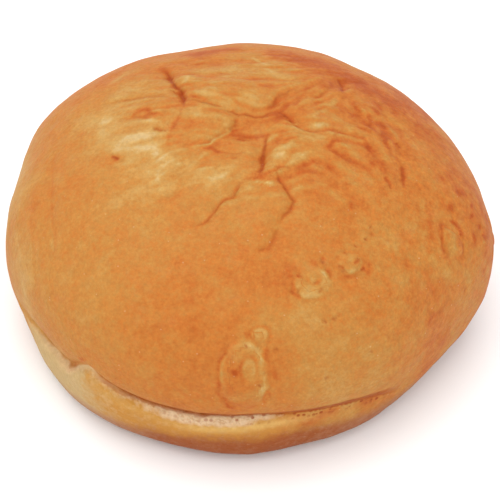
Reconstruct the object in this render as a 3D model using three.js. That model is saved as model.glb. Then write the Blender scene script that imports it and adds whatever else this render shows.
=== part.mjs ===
// A round wheat bread roll with a domed golden crust, folds at its crown and a tear at its foot.
// Millimetres, +Z up. The roll stands on the plane z = 0 and its front faces -Y.
// Azimuth runs counter-clockwise from +X, seen from above, so the front is at 270 degrees.

import * as THREE from 'three';

// ---------------------------------------------------------------- driving dimensions

const WIDTH = 108;             // left to right, over the widest swellings
const DEPTH = 101;             // front to back
const HEIGHT = 54;             // table to crown
const SHOULDER_ALLOWANCE = 0.63;   // what the swellings left and right add to half the width
const CROWN_ALLOWANCE = 0.5;   // what the plates of the crown add to the height
const AXIS = [-1.62, 0.98];    // where the dome's own axis stands; the right shoulder is the fuller
const GIRTH_HEIGHT = 23;       // height at which the dome is widest
const DOME_FULLNESS = 2.15;    // 2 is an ellipse; more is squarer at the shoulders
const DOME_RISE = HEIGHT - CROWN_ALLOWANCE - GIRTH_HEIGHT;

const SEGMENTS = 152;          // faces round the roll; four times the crown patch's side
const CROWN_SHARE = 0.68;      // how far out the square-gridded crown patch reaches
const CROWN_DENSITY = 1.2;     // above 1 gathers the patch's faces towards the crown
const CROWN_TURN = 22.5;       // turns the patch so that its corners miss the folds
const SHOULDER_ROWS = 12;      // rows from the crown patch down to the girth
const TUCK_ROWS = 3;           // rows from the girth down to the lip
const LIFT_PASSES = 3;         // how often a plan place is refined as it is lifted onto the dome

// ---------------------------------------------------------------- small helpers

const UP = new THREE.Vector3(0, 0, 1);
const rad = THREE.MathUtils.degToRad;
const smooth = THREE.MathUtils.smoothstep;

/** Signed turn from one azimuth to another, in degrees, between -180 and 180. */
function turn(from, to) {
  return THREE.MathUtils.euclideanModulo(to - from + 180, 360) - 180;
}

/** A bell of height 1 at distance 0 that has fallen to about a third at `spread`. */
function bell(distance, spread) {
  return Math.exp(-((distance / spread) ** 2));
}

/** Slope at a key between two straight stretches; 0 at a peak, a dip or a level stretch. */
function keySlope(before, after) {
  return before * after > 0 ? (2 * before * after) / (before + after) : 0;
}

/** Reads a value that is keyed by azimuth, flowing smoothly through the keys round the roll. */
function around(keys, azimuth) {
  const count = keys.length;
  const key = (i) => keys[THREE.MathUtils.euclideanModulo(i, count)];
  const span = (i) => THREE.MathUtils.euclideanModulo(key(i + 1)[0] - key(i)[0], 360);
  const slope = (i) => (key(i + 1)[1] - key(i)[1]) / span(i);
  for (let i = 0; i < count; i += 1) {
    const along = THREE.MathUtils.euclideanModulo(azimuth - key(i)[0], 360);
    if (along > span(i)) continue;
    const t = along / span(i);
    const rise = key(i)[1] + (key(i + 1)[1] - key(i)[1]) * smooth(t, 0, 1);
    const leave = keySlope(slope(i - 1), slope(i)) * t * (1 - t) ** 2;
    const arrive = keySlope(slope(i), slope(i + 1)) * t ** 2 * (1 - t);
    return rise + span(i) * (leave - arrive);
  }
  return keys[0][1];
}

// ---------------------------------------------------------------- outline of the dome

const SWELLINGS = [
  { azimuth: 351, rise: 2.8, spread: 12 },     // full right shoulder
  { azimuth: 326, rise: -0.8, spread: 12 },    // flatter front right
  { azimuth: 210, rise: -1.6, spread: 22 },    // slack front left
  { azimuth: 170, rise: -1.6, spread: 14 },    // slack left
  { azimuth: 92, rise: -0.9, spread: 34 },     // flatter back
  { azimuth: 266, rise: 0.9, spread: 26 },     // front
  { azimuth: 148, rise: 0.9, spread: 22 },     // back left
];

/** Radius of the dome at its girth. */
function girthRadius(azimuth) {
  const halfWidth = WIDTH / 2 - SHOULDER_ALLOWANCE;
  const halfDepth = DEPTH / 2;
  const a = rad(azimuth);
  let radius = (halfWidth * halfDepth) / Math.hypot(halfDepth * Math.cos(a), halfWidth * Math.sin(a));
  for (const s of SWELLINGS) radius += s.rise * bell(turn(s.azimuth, azimuth), s.spread);
  return radius;
}

/** A point of the smooth dome, `share` of the way out from the crown (0) to the girth (1). */
function domePoint(azimuth, share) {
  const radius = share * girthAt(azimuth, share);
  const fall = Math.max(0, 1 - share ** DOME_FULLNESS) ** (1 / DOME_FULLNESS);
  const z = GIRTH_HEIGHT + DOME_RISE * fall;
  return new THREE.Vector3(radius * Math.cos(rad(azimuth)), radius * Math.sin(rad(azimuth)), z);
}

/** The outline at a share of the way out: round at the crown, swollen at the girth. */
function girthAt(azimuth, share) {
  const round = (WIDTH + DEPTH) / 4;
  return THREE.MathUtils.lerp(round, girthRadius(azimuth), share ** 2);
}

/** Lifts a place on the plan, measured from the middle of the roll, onto the smooth dome. */
function lift(place) {
  const [x, y] = [place[0] - AXIS[0], place[1] - AXIS[1]];
  const azimuth = THREE.MathUtils.radToDeg(Math.atan2(y, x));
  let share = Math.hypot(x, y) / girthRadius(azimuth);
  for (let pass = 0; pass < LIFT_PASSES; pass += 1) share = Math.hypot(x, y) / girthAt(azimuth, share);
  return domePoint(azimuth, Math.min(share, 1));
}

/** Outward direction of the smooth dome at one of its points. */
function domeNormal(p) {
  const radius = Math.hypot(p.x, p.y);
  const girth = girthRadius(THREE.MathUtils.radToDeg(Math.atan2(p.y, p.x)));
  const outward = ((radius / girth) ** (DOME_FULLNESS - 1)) / girth;
  const upward = (Math.max(0, (p.z - GIRTH_HEIGHT) / DOME_RISE) ** (DOME_FULLNESS - 1)) / DOME_RISE;
  const flat = radius > 0 ? outward / radius : 0;
  return new THREE.Vector3(p.x * flat, p.y * flat, upward).normalize();
}

// ---------------------------------------------------------------- crown folds and blisters

// Creases where the dough folded over itself. Each route is drawn on the plan, in x and y from the
// middle of the roll, and `step` lifts the crust on the left of the route above that on its right.
const CREASES = [
  { route: [[-19.7, 27.2], [-17.8, 23.8], [-17, 20.1], [-15.2, 16.2], [-14, 13], [-13.8, 10.4]],
    depth: 1.1, width: 1.3, step: 0.7 },
  { route: [[-13.8, 11.6], [-10.2, 10.6], [-7.7, 9.7], [-5.4, 8.2], [-2.6, 7], [0.1, 6.6], [2.8, 6.4],
    [4.5, 7.2], [6.2, 8.1], [8.1, 6.1], [10, 3.7], [11.9, 1.2], [13.5, 0.5], [16, 0.9]],
  depth: 0.9, width: 1.3, step: -0.6 },
  { route: [[4.9, 9], [5.9, 11.7], [6.9, 13.4], [8.5, 14.9]], depth: 0.6, width: 1.2, step: 0.3 },
  { route: [[-2.5, 5.2], [-3.6, 2.6], [-4.4, 1], [-6.5, 0.2], [-9.3, -2]],
    depth: 0.5, width: 1.2, step: -0.5 },
  { route: [[-8.7, -2.9], [-5.9, -4.7], [-3.6, -5.7], [-0.2, -4.5]], depth: 0.4, width: 1.2, step: -0.3 },
  { route: [[3.8, -1.3], [3, -4.9], [2.8, -8.2], [2.6, -11], [2, -12.2]], depth: 1, width: 1.3, step: 0.4 },
  { route: [[-10.8, -23.5], [-8.7, -22.6], [-7, -19.6], [-5.4, -17.8], [-3.3, -17], [-1.9, -13.9],
    [0.4, -13.4]],
  depth: 0.9, width: 1.3, step: -0.8 },
  { route: [[5, -9.6], [6.4, -12.8], [7.8, -15.5], [9.4, -17.8], [8.6, -19.8], [6.9, -22.3], [5.8, -24.6],
    [5, -26.8], [3.8, -28.5], [2.3, -29.4], [0.9, -29.1]],
  depth: 0.8, width: 1.3, step: -0.5 },
  { route: [[32, 3.5], [32.6, 1], [32.9, -3], [32.8, -9]], depth: 0.5, width: 1.3, step: 0.2 },
  { route: [[19.5, 24], [20.3, 20.5], [20.3, 16.8]], depth: 0.6, width: 1.3, step: 0.2 },
  { route: [[12.7, 12.4], [15, 14.1], [17.7, 18.3], [19, 22]], depth: 0.3, width: 1.2, step: 0.2 },
  { route: [[17.3, 0.5], [19.3, 2.4], [21.9, 2.6], [23.8, 1.7]], depth: 0.35, width: 1.2, step: 0.3 },
  { route: [[28.7, -7.7], [30.2, -10]], depth: 0.3, width: 1.2, step: 0.2 },
  { route: [[-32, 15.8], [-28.6, 16], [-25.2, 15.7], [-21.1, 15], [-17.1, 14.8]],
    depth: 0.4, width: 1.2, step: 0.3 },
  { route: [[-21.1, 3.4], [-19.7, 3.6], [-17.6, 1.9]], depth: 0.4, width: 1.1, step: 0.3 },
  { route: [[-30.2, -3.8], [-28.2, -3.5]], depth: 0.3, width: 1.1, step: 0.3 },
  { route: [[-42.3, 10], [-42.5, -3.1], [-41.8, -15.7], [-41, -22]], depth: 0.4, width: 1.6, step: 0.3 },
  { route: [[43.8, -12.1], [46, -13]], depth: 0.8, width: 1.5, step: 0.3 },
];
const CREASE_TAPER = 0.1;      // share of a crease's length over which it fades at each end
const STEP_REACH = 3.5;        // how far back from a crease its raised side levels out
const CREASE_REACH = 14;       // beyond this a crease changes nothing
const GATHER_REACH = 1.1;      // how near a crease the mesh is drawn onto it
const GATHER_SHARE = 0.75;     // how much of the way it is drawn

// Low swellings and hollows: a bump over an oval `across` by `along` the slope.
const BLISTERS = [
  { at: [-1.2, -49.3], across: 5.2, along: 7.6, rise: 0.5 },    // large front blister
  { at: [2.7, -44.9], across: 2.4, along: 2.4, rise: 0.4 },
  { at: [12.6, -35.3], across: 4, along: 4.2, rise: 0.5 },
  { at: [21.2, -29.5], across: 2.8, along: 2.2, rise: 0.4 },
  { at: [51.3, -10], across: 2.6, along: 3, rise: 0.5 },        // nub on the right shoulder
  { at: [3.5, -19.5], across: 5.5, along: 5, rise: 0.7 },       // plate below the crown folds
  { at: [-23.5, 0.5], across: 9, along: 8, rise: 0.7 },         // puffed plate left of the crown
  { at: [-9.5, 4.5], across: 5, along: 4, rise: 0.5 },          // flap in front of the long fold
  { at: [-4.5, 14.5], across: 6, along: 5, rise: 0.5 },
  { at: [15, 5.5], across: 6, along: 4.5, rise: 0.5 },
  { at: [7.6, -5.5], across: 4, along: 3.5, rise: 0.5 },
  { at: [1, 1.5], across: 6, along: 4, rise: -0.7 },            // pucker at the middle of the crown
  { at: [-6.5, -11.5], across: 5, along: 4, rise: 0.4 },
  { at: [28, 9], across: 5, along: 7, rise: -0.4 },
];

for (const crease of CREASES) crease.lifted = crease.route.map(lift);
for (const blister of BLISTERS) {
  blister.centre = lift(blister.at);
  const outward = domeNormal(blister.centre);
  blister.acrossAxis = new THREE.Vector3(-blister.centre.y, blister.centre.x, 0).normalize();
  blister.alongAxis = outward.clone().cross(blister.acrossAxis);
}

/** A crease's nearest place to a point: the distance, the side the point is on and how far along it is. */
function creaseDistance(crease, p) {
  let best = { distance: Infinity };
  const closest = new THREE.Vector3();
  const stretches = crease.lifted.length - 1;
  for (let i = 0; i < stretches; i += 1) {
    const [start, end] = [crease.lifted[i], crease.lifted[i + 1]];
    const line = new THREE.Line3(start, end);
    const share = line.closestPointToPointParameter(p, true);
    line.at(share, closest);
    const distance = closest.distanceTo(p);
    if (distance < best.distance) {
      const cross = (end.x - start.x) * (p.y - start.y) - (end.y - start.y) * (p.x - start.x);
      const side = Math.sign(cross) || 1;
      best = { distance, side, along: (i + share) / stretches, nearest: closest.clone() };
    }
  }
  return best;
}

/** Height of the folds and blisters above the smooth dome. */
function relief(p) {
  let height = 0;
  for (const crease of CREASES) {
    const { distance, side, along } = creaseDistance(crease, p);
    if (distance > CREASE_REACH) continue;
    const taper = smooth(Math.min(along, 1 - along), 0, CREASE_TAPER);
    const raised = side * Math.sign(crease.step) > 0 ? Math.abs(crease.step) : 0;
    height -= crease.depth * taper * bell(distance, crease.width);
    height += raised * taper * bell(distance, STEP_REACH);
  }
  for (const blister of BLISTERS) {
    const offset = p.clone().sub(blister.centre);
    const u = offset.dot(blister.acrossAxis) / blister.across;
    const v = offset.dot(blister.alongAxis) / blister.along;
    height += blister.rise * bell(Math.hypot(u, v), 1);
  }
  return height;
}

/** Draws a point of the dome towards a crease beside it, so that the mesh runs along the fold. */
function gather(p) {
  let best = { distance: Infinity };
  for (const crease of CREASES) {
    const near = creaseDistance(crease, p);
    if (near.distance < best.distance) best = near;
  }
  return p.lerp(best.nearest, GATHER_SHARE * bell(best.distance, GATHER_REACH));
}

/** A point of the dome with its folds and blisters. */
function crustPoint(azimuth, share) {
  const p = gather(domePoint(azimuth, share));
  return p.clone().addScaledVector(domeNormal(p), relief(p));
}

// ---------------------------------------------------------------- tear and wall

// How the side changes round the roll, as [azimuth, value] keys. From the left round the front to
// the right the crown crust has torn away from the base, and its lip stands over the pale crumb.
const TORN = [[190, 0], [208, 1], [300, 1], [330, 0]];      // 1 where torn, 0 where the side is whole
const LIP_HEIGHT = [
  [180, 18], [198, 15], [208, 14.6], [216, 15], [222, 15.8], [225.5, 18.8], [229.5, 21.4], [235, 19.4],
  [240, 18.7], [262, 18.1], [273, 18.2], [284, 17.6], [293, 16.5], [299, 15.6], [306, 14.1], [312, 12.4],
  [325, 11.2], [340, 12.5], [10, 14], [90, 15],
];
const NOTCH_DEPTH = [                                       // how far the tear runs in under the lip
  [200, 0], [210, 1], [220, 1.2], [226, 0.4], [233, 0.3], [240, 1.6], [248, 1.8], [272, 1.8], [288, 0.9],
  [306, 0.5], [318, 0],
];
const WALL_RADIUS = [
  [0, 52.2], [40, 50.2], [90, 49.2], [140, 50.4], [165, 51.2], [186, 52.1], [202, 50.3], [214, 50.3],
  [226, 51], [248, 49.9], [270, 49.7], [290, 48.2], [305, 48.2], [330, 49.8],
];
const CREST_HEIGHT = [                                      // where the wall stands out furthest
  [0, 13], [90, 13], [180, 15], [212, 12.5], [226, 14.5], [240, 14], [270, 12.4], [302, 8.6], [330, 10],
];

const LIP_TUCK = 1.6;          // how far the lip lies inside the girth, once it is well below it
const LIP_THICKNESS = 0.8;
const SHALLOW_TUCK = 0.5;      // the same where the lip lies at the girth
const TUCK_SLOPE = 0.4;        // what each millimetre of drop adds to that
const DEEP_DROP = 4;           // below this drop the side leans further in
const DEEP_SLOPE = 0.12;       // by this much for each millimetre
const ROOT_SHARE = 0.3;        // how far out from the lip to the wall the crumb starts
const UNDERCUT_SHARE = 0.35;   // how much of the notch shows in the lip's own thickness
const LEAST_SHELF = 2.5;       // least drop from the lip to the wall's crest
const EDGE_INSET = 7.6;        // from the wall in to where the underside is flat

// The crumb, from under the lip to the crest: [share of the way out, share of the way down].
const CRUMB_PROFILE = [[0, 0.06], [0.62, 0.24], [0.9, 0.56], [1, 1]];
// The rounded foot: [inset from the wall, share of the crest's height].
const FOOT_PROFILE = [[0.35, 0.66], [1.3, 0.37], [2.9, 0.155], [5.2, 0.035]];
// Rings across the flat underside, as shares of its radius.
const UNDERSIDE_RINGS = [1, 0.9, 0.64, 0.32];

/** The stations below the girth, from top to bottom, as [radius, height] pairs. */
function sideStations(azimuth) {
  const girth = girthRadius(azimuth);
  const lip = around(LIP_HEIGHT, azimuth);
  const wall = around(WALL_RADIUS, azimuth);
  const crest = Math.min(around(CREST_HEIGHT, azimuth), lip - LEAST_SHELF);
  const drop = GIRTH_HEIGHT - lip;
  const lean = DEEP_SLOPE * Math.max(0, drop - DEEP_DROP);
  const tuck = Math.min(LIP_TUCK, SHALLOW_TUCK + TUCK_SLOPE * drop) + lean;
  const notch = around(NOTCH_DEPTH, azimuth);
  const root = THREE.MathUtils.lerp(girth - tuck, wall, ROOT_SHARE) - notch;
  const underLip = lip - LIP_THICKNESS;

  const stations = [];
  for (let row = 1; row <= TUCK_ROWS; row += 1) {
    const t = row / TUCK_ROWS;
    stations.push([girth - tuck * t ** 2, GIRTH_HEIGHT - drop * t]);
  }
  stations.push([girth - tuck - UNDERCUT_SHARE * notch, (lip + underLip) / 2]);
  for (const [out, down] of CRUMB_PROFILE) {
    stations.push([THREE.MathUtils.lerp(root, wall, out), THREE.MathUtils.lerp(underLip, crest, down)]);
  }
  for (const [inset, share] of FOOT_PROFILE) stations.push([wall - inset, crest * share]);

  // Where the side is whole it rounds under in one curve, through the same heights.
  const edge = wall - EDGE_INSET;
  const whole = (z) => edge + (girth - edge) * Math.sqrt(1 - (1 - z / GIRTH_HEIGHT) ** 2);
  const torn = around(TORN, azimuth);
  for (const station of stations) station[0] = THREE.MathUtils.lerp(whole(station[1]), station[0], torn);
  for (const share of UNDERSIDE_RINGS) stations.push([edge * share, 0]);
  return stations;
}

// ---------------------------------------------------------------- mesh

/** Grows the closed shell: a square-gridded crown patch, rings below it and a fan underneath. */
function shellGeometry() {
  const side = SEGMENTS / 4;
  const positions = [];
  const indices = [];
  const addPoint = (p) => positions.push(p.x, p.y, p.z) / 3 - 1;
  const addQuad = (a, b, c, d) => indices.push(a, b, c, a, c, d);

  // Crown patch: a square grid mapped onto a disc, so that no faces pinch at the pole.
  const squareStep = (i) => Math.SQRT2 * Math.sin(rad(45 * ((2 * i) / side - 1)));
  const patch = [];
  for (let j = 0; j <= side; j += 1) {
    const row = [];
    for (let i = 0; i <= side; i += 1) {
      const [u, v] = [squareStep(i), squareStep(j)];
      const x = u * Math.sqrt(1 - (v * v) / 2);
      const y = v * Math.sqrt(1 - (u * u) / 2);
      const azimuth = THREE.MathUtils.radToDeg(Math.atan2(y, x)) + CROWN_TURN;
      row.push(addPoint(crustPoint(azimuth, CROWN_SHARE * Math.hypot(x, y) ** CROWN_DENSITY)));
    }
    patch.push(row);
  }
  for (let j = 0; j < side; j += 1) {
    for (let i = 0; i < side; i += 1) {
      addQuad(patch[j][i], patch[j][i + 1], patch[j + 1][i + 1], patch[j + 1][i]);
    }
  }

  // The patch's rim, counter-clockwise from the corner where its grid starts.
  let ring = [];
  for (let i = 0; i < side; i += 1) ring.push(patch[0][i]);
  for (let j = 0; j < side; j += 1) ring.push(patch[j][side]);
  for (let i = side; i > 0; i -= 1) ring.push(patch[side][i]);
  for (let j = side; j > 0; j -= 1) ring.push(patch[j][0]);
  const azimuthOf = (k) => 225 + CROWN_TURN + (360 * k) / SEGMENTS;

  const addRing = (pointAt) => {
    const next = ring.map((unused, k) => addPoint(pointAt(k)));
    ring.forEach((upper, k) => {
      const n = (k + 1) % SEGMENTS;
      addQuad(upper, next[k], next[n], ring[n]);
    });
    ring = next;
  };
  for (let row = 1; row <= SHOULDER_ROWS; row += 1) {
    const start = Math.asin(CROWN_SHARE ** (DOME_FULLNESS / 2));
    const angle = THREE.MathUtils.lerp(start, Math.PI / 2, row / SHOULDER_ROWS);
    const share = Math.sin(angle) ** (2 / DOME_FULLNESS);
    addRing((k) => crustPoint(azimuthOf(k), share));
  }
  const sides = ring.map((unused, k) => sideStations(azimuthOf(k)));
  sides[0].forEach((unused, level) => {
    addRing((k) => {
      const [radius, z] = sides[k][level];
      const outward = new THREE.Vector3(1, 0, 0).applyAxisAngle(UP, rad(azimuthOf(k)));
      const p = outward.clone().multiplyScalar(radius).setZ(z);
      return level < TUCK_ROWS ? p.addScaledVector(outward, relief(p)) : p;
    });
  });
  const centre = addPoint(new THREE.Vector3(0, 0, 0));
  ring.forEach((edge, k) => indices.push(edge, centre, ring[(k + 1) % SEGMENTS]));

  const geometry = new THREE.BufferGeometry();
  geometry.setAttribute('position', new THREE.Float32BufferAttribute(positions, 3));
  geometry.setIndex(indices);
  return geometry;
}

/** Brings the shell to its exact overall size, centred on the Z axis and standing on z = 0. */
function fitToSize(geometry) {
  geometry.computeBoundingBox();
  const middle = geometry.boundingBox.getCenter(new THREE.Vector3());
  const size = geometry.boundingBox.getSize(new THREE.Vector3());
  geometry.translate(-middle.x, -middle.y, -geometry.boundingBox.min.z);
  geometry.scale(WIDTH / size.x, DEPTH / size.y, HEIGHT / size.z);
  geometry.computeVertexNormals();
  return geometry;
}

const crust = new THREE.MeshStandardMaterial({ color: 0xd9924a, roughness: 0.62, metalness: 0 });
const roll = new THREE.Mesh(fitToSize(shellGeometry()), crust);
roll.name = 'bread_roll';

const part = new THREE.Group();
part.add(roll);
export default part;
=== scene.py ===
"""A round bread roll: golden crust, folded crown, low blisters and a torn seam over pale crumb.

The roll is built in metres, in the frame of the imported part: +Z up, the front towards -Y.
The tables of features are in millimetres, which their helper functions turn into metres.
Azimuths run counter-clockwise from +X about the dome's own axis, so the front is at 270 degrees.
"""

import logging
import math
from collections.abc import Sequence
from dataclasses import dataclass, field
from enum import Enum
from itertools import product

import bpy
import numpy as np
from mathutils import Matrix, Vector


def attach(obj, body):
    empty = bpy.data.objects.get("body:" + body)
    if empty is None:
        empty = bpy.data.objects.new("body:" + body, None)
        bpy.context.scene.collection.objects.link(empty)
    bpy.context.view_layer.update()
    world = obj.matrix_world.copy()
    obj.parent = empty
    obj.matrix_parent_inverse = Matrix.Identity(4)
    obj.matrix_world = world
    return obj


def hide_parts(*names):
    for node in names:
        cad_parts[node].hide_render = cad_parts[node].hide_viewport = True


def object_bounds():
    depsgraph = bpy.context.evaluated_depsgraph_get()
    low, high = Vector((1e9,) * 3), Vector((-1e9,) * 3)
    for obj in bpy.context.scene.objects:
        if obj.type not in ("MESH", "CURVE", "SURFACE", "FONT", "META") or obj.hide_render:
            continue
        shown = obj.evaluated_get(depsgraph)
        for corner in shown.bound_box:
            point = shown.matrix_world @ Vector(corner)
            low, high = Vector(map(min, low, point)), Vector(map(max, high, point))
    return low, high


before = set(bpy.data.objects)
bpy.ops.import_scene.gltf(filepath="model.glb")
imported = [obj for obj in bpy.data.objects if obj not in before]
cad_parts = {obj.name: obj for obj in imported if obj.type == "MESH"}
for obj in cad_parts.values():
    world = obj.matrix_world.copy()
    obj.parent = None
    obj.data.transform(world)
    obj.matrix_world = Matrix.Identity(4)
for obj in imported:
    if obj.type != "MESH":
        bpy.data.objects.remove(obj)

CAD_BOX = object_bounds()
NODE = "bread_roll"
MM = 0.001
AXIS = (-0.00162, 0.00098)
OVERHEAD = 0.2  # The height from which the crust is looked for, well above the roll.
DOME_MIDDLE = 0.023
DOME_FLATNESS = 2.7
WRINKLE_DEPTH = 0.12
PIT_DEPTH = 0.6  # A pore's depth as a share of its radius.
FAR = 9.0  # Stands for the distance to a mark where none is near.

log = logging.getLogger("bread_roll")

Place = tuple[float, ...]
Colour = tuple[float, float, float, float]
Span = tuple[float, float]


# ---------------------------------------------------------------- small maths


def bell(distance: np.ndarray, spread: float) -> np.ndarray:
    """Returns a bell of height 1 at distance 0 that has fallen to about a third at the spread."""
    return np.exp(-((distance / spread) ** 2))


def ease(value: np.ndarray, low: float, high: float) -> np.ndarray:
    """Returns 0 below low, 1 above high and a smooth rise between them."""
    share = np.clip((value - low) / (high - low), 0.0, 1.0)
    return share * share * (3.0 - 2.0 * share)


def fade_ends(along: np.ndarray, low: float, high: float) -> np.ndarray:
    """Returns 1 along the middle of a line, fading towards both ends."""
    return ease(np.minimum(along, 1.0 - along), low, high)


def around(keys: Sequence[Place], azimuths: np.ndarray) -> np.ndarray:
    """Reads a value that is keyed by azimuth, flowing smoothly through the keys round the roll.

    Args:
        keys: Pairs of azimuth in degrees and value, in order round the roll.
        azimuths: The azimuths to read at, in degrees.

    Returns:
        One value for each azimuth.
    """
    count = len(keys)
    spans = [(keys[(i + 1) % count][0] - keys[i][0]) % 360.0 for i in range(count)]
    slopes = [(keys[(i + 1) % count][1] - keys[i][1]) / spans[i] for i in range(count)]
    tangents = []
    for before, after in zip([slopes[-1], *slopes[:-1]], slopes):
        tangents.append(2.0 * before * after / (before + after) if before * after > 0.0 else 0.0)
    values = np.full(azimuths.shape, float(keys[0][1]))
    for i in range(count):
        along = (azimuths - keys[i][0]) % 360.0
        inside = along <= spans[i]
        t = along[inside] / spans[i]
        rise = keys[i][1] + slopes[i] * spans[i] * ease(t, 0.0, 1.0)
        leave = tangents[i] * t * (1.0 - t) ** 2
        arrive = tangents[(i + 1) % count] * t**2 * (1.0 - t)
        values[inside] = rise + spans[i] * (leave - arrive)
    return values


class Lumps:
    """Soft random lumps that are the same on every run."""

    apart = (0.31, 0.77)  # How far away the lumps that drift points along x and y are read.

    def __init__(self, seed: int, cells: int = 64) -> None:
        """Fills a block of cells with seeded random numbers."""
        self.cells = cells
        self.table = np.random.default_rng(seed).random((cells, cells, cells))

    def at(self, places: np.ndarray, size: float) -> np.ndarray:
        """Reads the lumps.

        Args:
            places: The points to read at.
            size: The size of a lump, in metres.

        Returns:
            A number from 0 to 1 for each point.
        """
        grid = places / size
        base = np.floor(grid).astype(int)
        part = ease(grid - base, 0.0, 1.0)
        total = np.zeros(len(places))
        for corner in product((0, 1), repeat=3):
            index = (base + corner) % self.cells
            weight = np.prod(np.where(corner, part, 1.0 - part), axis=1)
            total += weight * self.table[index[:, 0], index[:, 1], index[:, 2]]
        return total

    def swell(self, places: np.ndarray, size: float, height: float) -> np.ndarray:
        """Returns lumps of a size around 0, which span a height from the lowest to the highest."""
        return (self.at(places, size) - 0.5) * height

    def drift(self, places: np.ndarray, size: float, reach: float) -> np.ndarray:
        """Returns the points, each moved on the plan by lumps of a size, by up to a reach."""
        moved = places.copy()
        for axis, apart in enumerate(self.apart):
            moved[:, axis] += self.swell(places + apart, size, 2.0 * reach)
        return moved


# ---------------------------------------------------------------- shader bench


class Number:
    """A number socket of a shader, with arithmetic that adds Math nodes."""

    def __init__(self, bench: "Bench", socket: bpy.types.NodeSocket) -> None:
        """Wraps one output socket."""
        self.bench = bench
        self.socket = socket

    def math(self, operation: str, *others: "Number | float") -> "Number":
        """Adds a Math node on this socket.

        Args:
            operation: The Math node's operation.
            others: Its remaining inputs.

        Returns:
            The node's result.
        """
        inputs = dict(enumerate([self, *others]))
        node = self.bench.node("ShaderNodeMath", {"operation": operation}, inputs)
        return Number(self.bench, node.outputs[0])

    def __add__(self, other: "Number | float") -> "Number":
        """Returns the sum."""
        return self.math("ADD", other)

    def __sub__(self, other: "Number | float") -> "Number":
        """Returns the difference."""
        return self.math("SUBTRACT", other)

    def __rsub__(self, other: float) -> "Number":
        """Returns the reflected difference."""
        return self.math("MULTIPLY", -1.0).math("ADD", other)

    def __mul__(self, other: "Number | float") -> "Number":
        """Returns the product."""
        return self.math("MULTIPLY", other)

    def __truediv__(self, other: "Number | float") -> "Number":
        """Returns the quotient."""
        return self.math("DIVIDE", other)

    def __neg__(self) -> "Number":
        """Returns the negative."""
        return self.math("MULTIPLY", -1.0)

    __radd__ = __add__
    __rmul__ = __mul__

    def between(self, low: float, high: float) -> "Number":
        """Returns 0 below low, 1 above high and a smooth rise between; low above high turns it round."""
        settings = {"interpolation_type": "SMOOTHSTEP", "clamp": True}
        node = self.bench.node("ShaderNodeMapRange", settings, {0: self, 1: low, 2: high, 3: 0.0, 4: 1.0})
        return Number(self.bench, node.outputs[0])

    def bell(self, spread: float) -> "Number":
        """Returns a bell of height 1 where this number is 0."""
        share = self / spread
        return (-(share * share)).math("EXPONENT")


@dataclass(frozen=True)
class Grain:
    """Soft noise on the crust, with features of a size in metres."""

    size: float
    octaves: float = 3.0
    rough: float = 0.5
    warp: float = 0.0
    strength: float = 1.0


@dataclass(frozen=True)
class Specks:
    """Scattered round specks.

    The spacing is the size of the cells that may hold a speck, a speck's radius is given in
    cell widths, and the share of the cells that hold one is from 0 to 1.
    """

    spacing: float
    radius: float
    share: float
    strength: float = 1.0


@dataclass(frozen=True)
class Trim:
    """A soft line along a family of marks, with its half width and its offset in millimetres."""

    family: str
    spread: float
    strength: float = 1.0
    offset: float = 0.0


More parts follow.
